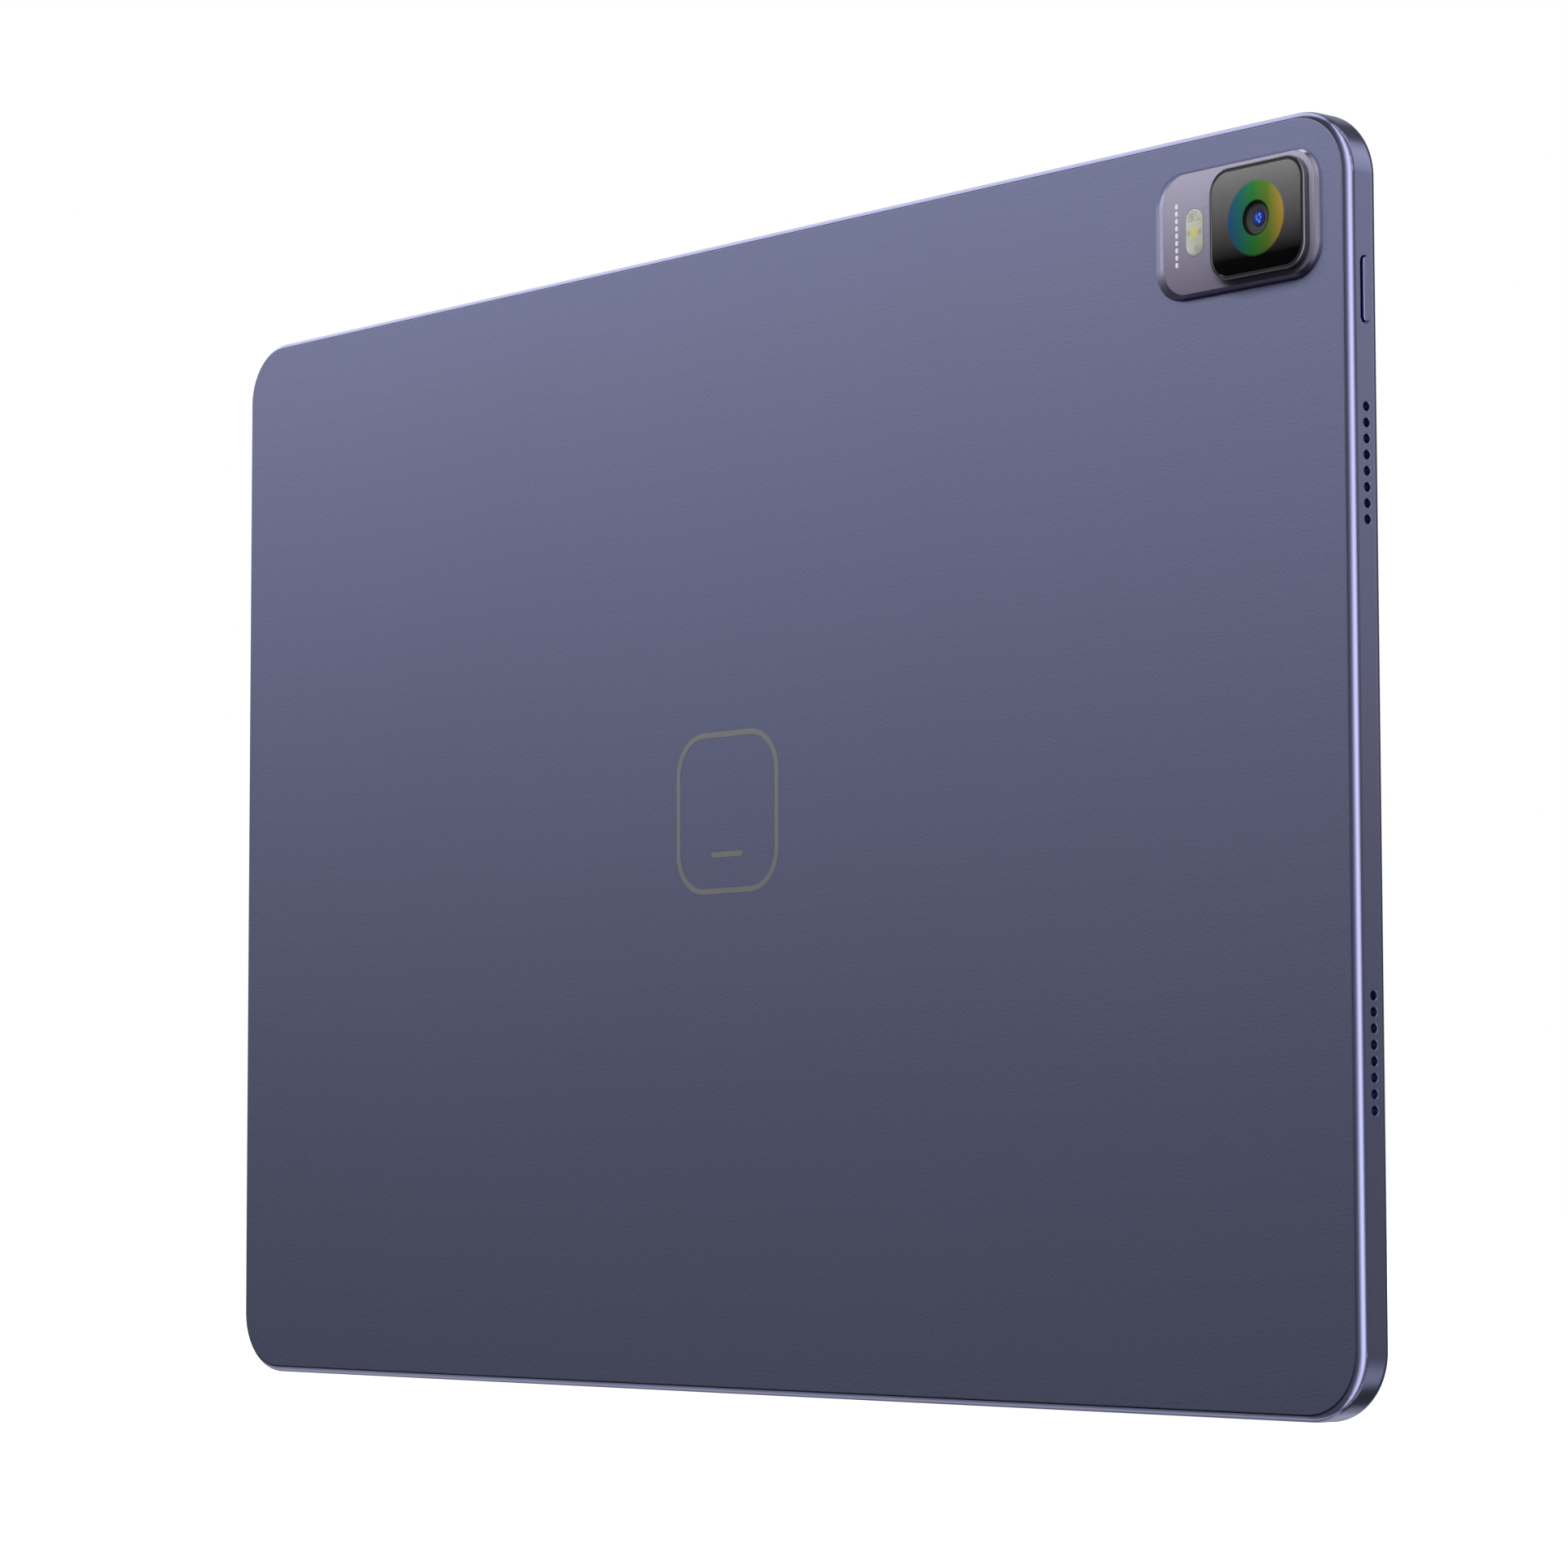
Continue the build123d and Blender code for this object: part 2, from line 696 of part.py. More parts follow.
def speaker(side, level):
    """One speaker: side is -1 at the left edge and 1 at the right, level -1 low and 1 high."""
    grille_z = mid_z + level * grille_offset
    middle_z = grille_z + level * 3.6
    with BuildPart() as unit:
        with BuildSketch(layer(plate_back)):
            with Locations((side * 122.1, middle_z)):
                RectangleRounded(20.2, speaker_height, 1.0)
        extrude(amount=plate_back - 1.0)
        with BuildSketch(layer(5.2)):
            with Locations((side * 134.25, middle_z)):
                Rectangle(4.1, speaker_height)
        extrude(amount=4.2)
        with BuildSketch(layer(board_front)):
            with Locations((side * 110.5, middle_z)):
                RectangleRounded(5.0, 6.0, 0.8)
            with Locations((side * speaker_tab_x, middle_z)):
                Circle(screw_radius + 0.1, mode=Mode.SUBTRACT)
        extrude(amount=board_thickness)
        with BuildSketch(layer(4.6)):
            with Locations((side * 134.9, grille_z)):
                Rectangle(3.0, 19.2)
        extrude(amount=2.1, mode=Mode.SUBTRACT)
    return unit


for side, side_name in ((-1, "left"), (1, "right")):
    for level, level_name in ((-1, "lower"), (1, "upper")):
        save(speaker(side, level), f"speaker_{side_name}_{level_name}")

# Fine meshes behind the four grilles
with BuildPart() as speaker_meshes:
    for mesh_x in (width / 2 - wall - 0.2, -width / 2 + wall):
        with BuildSketch(Plane.YZ.offset(mesh_x)):
            with Locations((side_y, mid_z - grille_offset), (side_y, mid_z + grille_offset)):
                RectangleRounded(2.6, 19.8, 0.5)
        extrude(amount=0.2)
save(speaker_meshes, "speaker_meshes")

# Small parts in the border: microphones, magnets that hold the pen, and the front camera
with BuildPart() as microphones:
    with BuildSketch(layer(ledge_back)):
        with Locations((-134.9, side_microphone_z)):
            Rectangle(3.0, 3.6)
        with Locations((top_microphone_x, 187.4)):
            Rectangle(3.6, 3.0)
    extrude(amount=2.8)
save(microphones, "microphones")

pen_magnets = flat_group([(-66, 187.1), (-44, 187.1), (-22, 187.1)], 16, 3.6, 2.8, ledge_back)
save(pen_magnets, "pen_magnets")

with BuildPart() as front_camera:
    with BuildSketch(layer(ledge_back)):
        with Locations((front_camera_x, border_z + 0.05)):
            RectangleRounded(6.0, 3.9, 0.3)
    extrude(amount=3.2)
    with BuildSketch(layer(ledge_back)):
        with Locations((front_camera_x, border_z)):
            Circle(1.3)
    extrude(amount=-0.75)
save(front_camera, "front_camera")

light_sensor = flat_block(light_sensor_x, border_z, 2.4, 2.4, 4.7, ledge_back, 0.2)
save(light_sensor, "light_sensor")

# Antennas: thin patches on the inside of the cover
for name, antenna_z in (("antenna_upper", 172.0), ("antenna_lower", 18.0)):
    patch_back = cover_thickness
    antenna = flat_block(-115, antenna_z, 30, 18, patch_back, patch_back + 0.15, 1.0)
    save(antenna, name)

# Screen: pen digitizer, backlight and panel, one on another in the pocket
screen_width = width - 2 * (screen_pocket_x + screen_play)
screen_height = height - 2 * (screen_pocket_z + screen_play)
screen_layers = (
    ("pen_digitizer", plate_front, 4.95),
    ("backlight", 4.95, 5.65),
    ("screen_panel", 5.65, glass_back),
)
for name, layer_back, layer_front in screen_layers:
    sheet = flat_block(0, mid_z, screen_width, screen_height, layer_back, layer_front, 1.8)
    save(sheet, name)

# Flat cable from the digitizer and screen, through the plate, to the main board
with BuildPart() as screen_cable:
    with BuildSketch(layer(plate_back)):
        with Locations((screen_cable_x, screen_cable_z + 4.2)):
            Rectangle(screen_cable_width, 10)
    extrude(amount=film)
    with BuildSketch(layer(plate_front)):
        with Locations((screen_cable_x, screen_cable_z)):
            Rectangle(screen_cable_width, 1.2)
    extrude(amount=plate_front - plate_back)
save(screen_cable, "screen_cable")

# Adhesive between the ledge and the glass, with sight holes
with BuildPart() as glass_adhesive:
    with BuildSketch(layer(glass_back)):
        body_outline(glass_inset + 0.3)
        with Locations((0, mid_z)):
            RectangleRounded(
                width - 2 * screen_pocket_x + 0.6,
                height - 2 * screen_pocket_z + 0.6,
                screen_corner,
                mode=Mode.SUBTRACT,
            )
        with Locations((front_camera_x, border_z)):
            Circle(1.6, mode=Mode.SUBTRACT)
        with Locations((light_sensor_x, border_z)):
            Circle(0.9, mode=Mode.SUBTRACT)
    extrude(amount=glass_back - glass_seat)
save(glass_adhesive, "glass_adhesive")

# Front glass with rounded edges
with BuildPart() as front_glass:
    with BuildSketch(layer(thickness)):
        body_outline(glass_inset)
    extrude(amount=thickness - glass_back)
    fillet(front_glass.faces().sort_by(Axis.Y)[-1].edges(), glass_edge)
save(front_glass, "front_glass")

# Screws: domed heads on threaded shanks
with BuildPart() as board_screws:
    with BuildSketch(layer(board_top)):
        with Locations(*board_screws_at, *port_screws_at, *speaker_screws_at):
            Circle(screw_head_radius)
    extrude(amount=screw_head)
    chamfer(board_screws.faces().filter_by(Axis.Y).sort_by(Axis.Y)[:12].edges(), 0.15)
    with BuildSketch(layer(board_top + screw_length)):
        with Locations(*board_screws_at, *port_screws_at, *speaker_screws_at):
            Circle(screw_radius)
    extrude(amount=screw_length)
save(board_screws, "board_screws")
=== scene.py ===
import json
import math

import bmesh
import bpy
from mathutils import Matrix, Vector


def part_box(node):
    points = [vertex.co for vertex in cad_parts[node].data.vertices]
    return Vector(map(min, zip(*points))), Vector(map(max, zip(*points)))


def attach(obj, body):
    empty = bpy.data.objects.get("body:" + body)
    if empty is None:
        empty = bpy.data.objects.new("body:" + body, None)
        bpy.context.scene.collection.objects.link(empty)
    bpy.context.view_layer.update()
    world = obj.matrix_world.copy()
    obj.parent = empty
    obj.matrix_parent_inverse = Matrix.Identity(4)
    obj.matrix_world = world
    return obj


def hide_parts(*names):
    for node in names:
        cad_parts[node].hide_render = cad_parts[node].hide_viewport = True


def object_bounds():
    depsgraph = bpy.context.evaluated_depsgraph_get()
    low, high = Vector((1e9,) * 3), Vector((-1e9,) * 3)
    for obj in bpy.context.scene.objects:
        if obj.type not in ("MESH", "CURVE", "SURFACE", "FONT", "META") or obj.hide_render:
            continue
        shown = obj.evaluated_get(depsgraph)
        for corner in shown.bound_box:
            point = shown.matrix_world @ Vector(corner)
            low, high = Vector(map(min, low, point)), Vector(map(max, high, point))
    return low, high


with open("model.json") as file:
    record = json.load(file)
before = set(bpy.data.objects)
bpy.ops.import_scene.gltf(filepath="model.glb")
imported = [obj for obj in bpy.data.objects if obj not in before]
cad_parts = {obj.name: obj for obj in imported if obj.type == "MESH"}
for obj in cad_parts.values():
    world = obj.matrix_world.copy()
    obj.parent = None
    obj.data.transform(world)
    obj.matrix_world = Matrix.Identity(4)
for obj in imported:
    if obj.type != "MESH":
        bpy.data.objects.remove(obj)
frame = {"nodes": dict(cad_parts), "record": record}
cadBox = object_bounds()
mm = 0.001
print("frame loaded:", len(frame["nodes"]), "nodes")


# Camera, floor and light

cameraValues = {
    "place": (0.60286, -0.51566, 0.03528),
    "yaw": -0.853393,
    "pitch": 0.082374,
    "roll": -0.0021,
    "lens": 109.75,
    "sensor": 36,
}


def makeCamera():
    values = cameraValues
    camera = bpy.data.cameras.new("studioCamera")
    camera.lens = values["lens"]
    camera.sensor_width = values["sensor"]
    camera.clip_start = 0.01
    rig = bpy.data.objects.new("studioCamera", camera)
    bpy.context.scene.collection.objects.link(rig)
    level = Matrix.Rotation(math.pi / 2 + values["pitch"], 4, "X")
    turn = Matrix.Rotation(-values["yaw"], 4, "Z")
    tilt = Matrix.Rotation(values["roll"], 4, "Z")
    rig.matrix_world = Matrix.Translation(values["place"]) @ turn @ level @ tilt
    bpy.context.scene.camera = rig


floorValues = {"halfSize": 3.0, "drop": 0.0002, "glow": 1.0, "colour": (0.8, 0.8, 0.8, 1)}


def makeFloor():
    values = floorValues
    mesh = bpy.data.meshes.new("floor")
    build = bmesh.new()
    bmesh.ops.create_grid(build, x_segments=1, y_segments=1, size=values["halfSize"])
    bmesh.ops.translate(build, verts=build.verts, vec=(0, 0, cadBox[0][2] - values["drop"]))
    build.to_mesh(mesh)
    build.free()
    floor = bpy.data.objects.new("floor", mesh)
    bpy.context.scene.collection.objects.link(floor)
    material = bpy.data.materials.new("paleFloor")
    material.use_nodes = True
    shader = material.node_tree.nodes["Principled BSDF"]
    shader.inputs["Base Color"].default_value = values["colour"]
    shader.inputs["Roughness"].default_value = 0.9
    shader.inputs["Specular IOR Level"].default_value = 0
    shader.inputs["Emission Color"].default_value = (1, 1, 1, 1)
    shader.inputs["Emission Strength"].default_value = values["glow"]
    mesh.materials.append(material)
    floor.visible_glossy = False
    floor.visible_diffuse = False


# Studio levels by heading, in degrees from +X towards +Y, for three heights.
# Each row is a heading and a level; the top level stands for 2.
studioValues = {
    "peak": 2.0,
    "fill": 0.02,
    "low": [(-180, 0.52), (-165, 0.3), (-150, 0.11), (-100, 0.1), (-65, 0.13), (-39, 0.6),
            (-20, 1.3), (0, 1.3),
            (12, 0.7), (24, 0.15), (38, 0.2), (50, 0.4), (60, 0.34), (72, 0.05), (96, 0.05), (110, 0.3),
            (122, 0.52), (136, 0.45), (145, 0.12), (156, 0.3), (170, 0.52), (180, 0.52)],
    "level": [(-180, 0.2), (-140, 0.1), (-97, 0.09), (-65, 0.12), (-50, 0.28), (-39, 0.6),
              (-25, 1.2), (-12, 1.55),
              (0, 1.3), (10, 0.8), (19, 0.35), (28, 0.1), (37, 0.1), (48, 0.13), (60, 0.16), (75, 0.08),
              (98, 0.08), (112, 0.4), (135, 0.3), (150, 0.17), (165, 0.2), (180, 0.2)],
    "high": [(-180, 1.1), (-165, 1.0), (-152, 0.3), (-140, 0.1), (-97, 0.09), (-65, 0.15), (-50, 0.35),
             (-39, 0.7),
             (-25, 1.2), (-12, 1.5), (0, 1.3), (10, 0.9), (20, 0.4), (28, 0.16), (36, 0.2), (46, 0.46),
             (60, 0.68), (68, 0.5), (80, 0.1), (104, 0.1), (118, 0.25), (130, 0.35), (140, 0.7), (152, 1.1),
             (180, 1.1)],
    "lowAngles": (-8, -32),
    "highAngles": (-2, 20),
}


def levelRamp(nodes, stops, peak):
    ramp = nodes.new("ShaderNodeValToRGB")
    ramp.color_ramp.interpolation = "EASE"
    points = ramp.color_ramp.elements
    while len(points) < len(stops):
        points.new(0.5)
    for point, (heading, level) in zip(points, stops):
        point.position = (heading + 180) / 360
        point.color = (level / peak, level / peak, level / peak, 1)
    return ramp


def makeWorld():
    values = studioValues
    world = bpy.data.worlds.new("studio")
    bpy.context.scene.world = world
    world.use_nodes = True
    nodes = world.node_tree.nodes
    join = world.node_tree.links.new
    nodes.clear()
    view = nodes.new("ShaderNodeTexCoord")
    split = nodes.new("ShaderNodeSeparateXYZ")
    join(view.outputs["Generated"], split.inputs[0])
    heading = nodes.new("ShaderNodeMath")
    heading.operation = "ARCTAN2"
    join(split.outputs["Y"], heading.inputs[0])
    join(split.outputs["X"], heading.inputs[1])
    turn = nodes.new("ShaderNodeMapRange")
    turn.inputs["From Min"].default_value = -math.pi
    turn.inputs["From Max"].default_value = math.pi
    join(heading.outputs[0], turn.inputs["Value"])
    height = nodes.new("ShaderNodeMath")
    height.operation = "ARCSINE"
    join(split.outputs["Z"], height.inputs[0])

    shade = None
    for name, angles in (("level", None), ("low", values["lowAngles"]), ("high", values["highAngles"])):
        ramp = levelRamp(nodes, values[name], values["peak"])
        join(turn.outputs[0], ramp.inputs[0])
        if shade is None:
            shade = ramp.outputs["Color"]
            continue
        reach = nodes.new("ShaderNodeMapRange")
        reach.interpolation_type = "SMOOTHSTEP"
        reach.inputs["From Min"].default_value = math.radians(angles[0])
        reach.inputs["From Max"].default_value = math.radians(angles[1])
        join(height.outputs[0], reach.inputs["Value"])
        blend = nodes.new("ShaderNodeMix")
        blend.data_type = "RGBA"
        join(reach.outputs[0], blend.inputs["Factor"])
        join(shade, blend.inputs["A"])
        join(ramp.outputs["Color"], blend.inputs["B"])
        shade = blend.outputs["Result"]

    studio = nodes.new("ShaderNodeBackground")
    studio.inputs["Strength"].default_value = values["peak"]
    join(shade, studio.inputs["Color"])
    fill = nodes.new("ShaderNodeBackground")
    fill.inputs["Color"].default_value = (1, 1, 1, 1)
    fill.inputs["Strength"].default_value = values["fill"]
    backdrop = nodes.new("ShaderNodeBackground")
    backdrop.inputs["Color"].default_value = (1, 1, 1, 1)
    path = nodes.new("ShaderNodeLightPath")
    soft = nodes.new("ShaderNodeMixShader")
    join(path.outputs["Is Diffuse Ray"], soft.inputs[0])
    join(studio.outputs[0], soft.inputs[1])
    join(fill.outputs[0], soft.inputs[2])
    seen = nodes.new("ShaderNodeMixShader")
    join(path.outputs["Is Camera Ray"], seen.inputs[0])
    join(soft.outputs[0], seen.inputs[1])
    join(backdrop.outputs[0], seen.inputs[2])
    end = nodes.new("ShaderNodeOutputWorld")
    join(seen.outputs[0], end.inputs["Surface"])


lampValues = {
    "backStrip": {"place": (0.02, -0.19, 0.35), "aim": (0.02, 0, 0.21), "size": (0.9, 0.10), "power": 1.05,
                  "spread": 110},
    "screenSoft": {"place": (-0.1, 0.75, 0.75), "aim": (0, 0, 0.1), "size": (0.8, 0.6), "power": 6,
                   "spread": 160},
}


def makeLamps():
    for name, values in lampValues.items():
        lamp = bpy.data.lights.new(name, "AREA")
        lamp.shape = "RECTANGLE"
        lamp.size, lamp.size_y = values["size"]
        lamp.energy = values["power"]
        lamp.spread = math.radians(values["spread"])
        rig = bpy.data.objects.new(name, lamp)
        bpy.context.scene.collection.objects.link(rig)
        rig.location = values["place"]
        aim = Vector(values["aim"]) - Vector(values["place"])
        rig.rotation_euler = aim.to_track_quat("-Z", "Y").to_euler()
        rig.visible_camera = False
        rig.visible_glossy = False


makeCamera()
makeFloor()
makeWorld()
makeLamps()
bpy.context.scene.view_settings.view_transform = "Standard"
print("camera, floor and lights made")


# Shared surface effects, as node groups that put out only masks and values

def newGroup(name, inputs, outputs):
    group = bpy.data.node_groups.new(name, "ShaderNodeTree")
    for label, kind in inputs:
        group.interface.new_socket(label, in_out="INPUT", socket_type=kind)
    for label in outputs:
        group.interface.new_socket(label, in_out="OUTPUT", socket_type="NodeSocketFloat")
    start = group.nodes.new("NodeGroupInput")
    end = group.nodes.new("NodeGroupOutput")
    return group, start, end


def makeGrain():
    # Fine is the grain itself and Broad a slow drift across the piece, both from 0 to 1.
    inputs = [("Scale", "NodeSocketFloat"), ("Stretch", "NodeSocketVector"), ("Drift", "NodeSocketFloat")]
    group, start, end = newGroup("surfaceGrain", inputs, ["Fine", "Broad"])
    nodes = group.nodes
    join = group.links.new
    place = nodes.new("ShaderNodeTexCoord")
    stretch = nodes.new("ShaderNodeVectorMath")
    stretch.operation = "MULTIPLY"
    join(place.outputs["Object"], stretch.inputs[0])
    join(start.outputs["Stretch"], stretch.inputs[1])
    fine = nodes.new("ShaderNodeTexNoise")
    fine.inputs["Detail"].default_value = 2
    join(stretch.outputs[0], fine.inputs["Vector"])
    join(start.outputs["Scale"], fine.inputs["Scale"])
    join(fine.outputs[0], end.inputs["Fine"])
    broad = nodes.new("ShaderNodeTexNoise")
    broad.inputs["Detail"].default_value = 3
    join(place.outputs["Object"], broad.inputs["Vector"])
    join(start.outputs["Drift"], broad.inputs["Scale"])
    join(broad.outputs[0], end.inputs["Broad"])
    return group


def makeHandling():
    # Faint marks that fingers leave: a mask that is mostly 0 and rises to 1 in soft patches.
    inputs = [("Size", "NodeSocketFloat"), ("Amount", "NodeSocketFloat")]
    group, start, end = newGroup("handlingMarks", inputs, ["Mask"])
    nodes = group.nodes
    join = group.links.new
    place = nodes.new("ShaderNodeTexCoord")
    patches = nodes.new("ShaderNodeTexNoise")
    patches.inputs["Detail"].default_value = 4
    patches.inputs["Roughness"].default_value = 0.6
    join(place.outputs["Object"], patches.inputs["Vector"])
    join(start.outputs["Size"], patches.inputs["Scale"])
    keep = nodes.new("ShaderNodeMapRange")
    keep.inputs["From Min"].default_value = 0.52
    keep.inputs["From Max"].default_value = 0.75
    join(patches.outputs[0], keep.inputs["Value"])
    scale = nodes.new("ShaderNodeMath")
    scale.operation = "MULTIPLY"
    join(keep.outputs[0], scale.inputs[0])
    join(start.outputs["Amount"], scale.inputs[1])
    join(scale.outputs[0], end.inputs["Mask"])
    return group


def makeBand():
    # 1 inside a box of the given half size, 0 outside, with a soft edge of the given width.
    inputs = [("Centre", "NodeSocketVector"), ("Half", "NodeSocketVector"), ("Soft", "NodeSocketFloat")]
    group, start, end = newGroup("boxMask", inputs, ["Mask"])
    nodes = group.nodes
    join = group.links.new
    place = nodes.new("ShaderNodeTexCoord")
    offset = nodes.new("ShaderNodeVectorMath")
    offset.operation = "SUBTRACT"
    join(place.outputs["Object"], offset.inputs[0])
    join(start.outputs["Centre"], offset.inputs[1])
    size = nodes.new("ShaderNodeVectorMath")
    size.operation = "ABSOLUTE"
    join(offset.outputs[0], size.inputs[0])
    inside = nodes.new("ShaderNodeVectorMath")
    inside.operation = "SUBTRACT"
    join(start.outputs["Half"], inside.inputs[0])
    join(size.outputs[0], inside.inputs[1])
    split = nodes.new("ShaderNodeSeparateXYZ")
    join(inside.outputs[0], split.inputs[0])
    nearest = nodes.new("ShaderNodeMath")
    nearest.operation = "MINIMUM"
    join(split.outputs["X"], nearest.inputs[0])
    join(split.outputs["Z"], nearest.inputs[1])
    edge = nodes.new("ShaderNodeMapRange")
    join(nearest.outputs[0], edge.inputs["Value"])
    edge.inputs["From Min"].default_value = 0
    join(start.outputs["Soft"], edge.inputs["From Max"])
    join(edge.outputs[0], end.inputs["Mask"])
    return group


def makeRound():
    # Distance from an axis along Y, in metres.
    group, start, end = newGroup("roundPlace", [("Centre", "NodeSocketVector")], ["Radius"])
    nodes = group.nodes
    join = group.links.new
    place = nodes.new("ShaderNodeTexCoord")
    offset = nodes.new("ShaderNodeVectorMath")
    offset.operation = "SUBTRACT"
    join(place.outputs["Object"], offset.inputs[0])
    join(start.outputs["Centre"], offset.inputs[1])
    flat = nodes.new("ShaderNodeVectorMath")
    flat.operation = "MULTIPLY"
    flat.inputs[1].default_value = (1, 0, 1)
    join(offset.outputs[0], flat.inputs[0])
    reach = nodes.new("ShaderNodeVectorMath")
    reach.operation = "LENGTH"
    join(flat.outputs[0], reach.inputs[0])
    join(reach.outputs["Value"], end.inputs["Radius"])
    return group


grainGroup = makeGrain()
handlingGroup = makeHandling()
boxGroup = makeBand()
roundGroup = makeRound()


def useGroup(nodes, group, **values):
    node = nodes.new("ShaderNodeGroup")
    node.node_tree = group
    for name, value in values.items():
        node.inputs[name].default_value = value
    return node


def mixColours(nodes, join, factor, first, second):
    # first and second are either a colour or another node's output
    mix = nodes.new("ShaderNodeMix")
    mix.data_type = "RGBA"
    join(factor, mix.inputs["Factor"])
    for socket, value in ((mix.inputs["A"], first), (mix.inputs["B"], second)):
        if isinstance(value, bpy.types.NodeSocket):
            join(value, socket)
        else:
            socket.default_value = (*value, 1)
    return mix.outputs["Result"]


def spread(nodes, join, value, low, high, toLow, toHigh):
    node = nodes.new("ShaderNodeMapRange")
    node.inputs["From Min"].default_value = low
    node.inputs["From Max"].default_value = high
    node.inputs["To Min"].default_value = toLow
    node.inputs["To Max"].default_value = toHigh
    join(value, node.inputs["Value"])
    return node.outputs[0]


def makeFinish(name, look):
    # A finish with two close tones, a grain that also roughens and bumps it, and faint handling marks.
    material = bpy.data.materials.new(name)
    material.use_nodes = True
    nodes = material.node_tree.nodes
    join = material.node_tree.links.new
    shader = nodes["Principled BSDF"]
    grain = useGroup(nodes, grainGroup, Scale=look["grain"], Stretch=look.get("stretch", (1, 1, 1)),
                     Drift=look.get("drift", 30))
    marks = useGroup(nodes, handlingGroup, Size=look.get("markSize", 45), Amount=look.get("marks", 0.3))
    tone = look["colour"]
    other = [part * look.get("contrast", 0.9) for part in tone]
    drifted = mixColours(nodes, join, grain.outputs["Broad"], tone, other)
    speckle = spread(nodes, join, grain.outputs["Fine"], 0.3, 0.7, 0, 0.5)
    tint = mixColours(nodes, join, speckle, drifted, other)
    join(tint, shader.inputs["Base Color"])
    rough = look["roughness"]
    worn = nodes.new("ShaderNodeMath")
    worn.operation = "MULTIPLY_ADD"
    join(marks.outputs["Mask"], worn.inputs[0])
    worn.inputs[1].default_value = look.get("markShine", -0.05)
    join(spread(nodes, join, grain.outputs["Fine"], 0.25, 0.75, rough[0], rough[1]), worn.inputs[2])
    join(worn.outputs[0], shader.inputs["Roughness"])
    shader.inputs["Metallic"].default_value = look.get("metal", 0)
    shader.inputs["Specular IOR Level"].default_value = look.get("specular", 0.5)
    shader.inputs["Coat Weight"].default_value = look.get("coat", 0)
    shader.inputs["Coat Roughness"].default_value = look.get("coatRoughness", 0.03)
    bump = nodes.new("ShaderNodeBump")
    bump.inputs["Strength"].default_value = look.get("bump", 0.3)
    bump.inputs["Distance"].default_value = look.get("relief", 0.01) * mm
    join(grain.outputs["Fine"], bump.inputs["Height"])
    join(bump.outputs[0], shader.inputs["Normal"])
    return material


# One look for each of the record's slots
looks = {
    "body_metal": {"colour": (0.45, 0.46, 0.76), "metal": 1, "roughness": (0.15, 0.2), "grain": 2600,
                   "bump": 0.12, "relief": 0.004, "contrast": 0.94, "marks": 0.25, "markShine": 0.06},
    "back_panel": {"colour": (0.168, 0.181, 0.298), "roughness": (0.46, 0.58), "grain": 2500, "bump": 1.3,
                   "relief": 0.05, "contrast": 0.93, "specular": 0.2, "marks": 0.2, "drift": 12},
    "camera_gloss": {"colour": (0.42, 0.39, 0.47), "roughness": (0.16, 0.2), "grain": 900, "coat": 0.3,
                     "bump": 0.05, "contrast": 0.95},
    "ring_metal": {"colour": (0.26, 0.257, 0.275), "metal": 1, "roughness": (0.16, 0.2), "grain": 1800,
                   "bump": 0.1, "relief": 0.004},
    "mask_black": {"colour": (0.012, 0.012, 0.014), "roughness": (0.05, 0.06), "grain": 1500, "bump": 0,
                   "specular": 0.15},
    "cover_glass": {"colour": (0.9, 0.92, 0.95), "roughness": (0.0, 0.02), "grain": 400, "bump": 0.01},
    "lens_glass": {"colour": (0.02, 0.025, 0.06), "roughness": (0.03, 0.06), "grain": 900, "coat": 1,
                   "bump": 0.02},
    "window_clear": {"colour": (0.42, 0.43, 0.39), "roughness": (0.2, 0.3), "grain": 1200, "coat": 0.4,
                     "bump": 0.1},
    "black_plastic": {"colour": (0.02, 0.02, 0.024), "roughness": (0.42, 0.55), "grain": 1600, "bump": 0.3},
    "lamp_yellow": {"colour": (0.75, 0.66, 0.08), "roughness": (0.4, 0.5), "grain": 2000, "bump": 0.2},
    "switch_plastic": {"colour": (0.05, 0.05, 0.055), "roughness": (0.45, 0.6), "grain": 1500, "bump": 0.25},
    "flex_film": {"colour": (0.32, 0.15, 0.04), "roughness": (0.3, 0.4), "grain": 700, "coat": 0.3,
                  "stretch": (1, 1, 0.2), "bump": 0.2},
    "plated_steel": {"colour": (0.55, 0.55, 0.56), "metal": 1, "roughness": (0.28, 0.4), "grain": 900,
                     "stretch": (1, 1, 0.08), "bump": 0.15, "relief": 0.005},
    "circuit_board": {"colour": (0.012, 0.09, 0.05), "roughness": (0.3, 0.42), "grain": 600, "coat": 0.3,
                      "stretch": (1, 1, 0.3), "contrast": 0.6, "bump": 0.3},
    "cell_pouch": {"colour": (0.4, 0.4, 0.42), "metal": 1, "roughness": (0.4, 0.52), "grain": 260,
                   "bump": 0.4,
                   "relief": 0.05},
    "adhesive_film": {"colour": (0.02, 0.02, 0.022), "roughness": (0.7, 0.85), "grain": 2500, "bump": 0.5,
                      "relief": 0.03},
    "heat_film": {"colour": (0.04, 0.04, 0.045), "metal": 0.6, "roughness": (0.4, 0.5), "grain": 500,
                  "stretch": (0.1, 1, 1), "bump": 0.2},
    "screen_glass": {"colour": (0.004, 0.004, 0.006), "roughness": (0.08, 0.12), "grain": 900, "bump": 0.02},
    "screen_back": {"colour": (0.6, 0.6, 0.6), "roughness": (0.5, 0.6), "grain": 800, "bump": 0.1},
}

finishes = {}
for slotName, look in looks.items():
    finishes[slotName] = makeFinish(slotName + "Finish", look)
print("finishes made:", len(finishes))


def paint(material, *names):
    for name in names:
        for materialSlot in frame["nodes"][name].material_slots:
            materialSlot.material = material


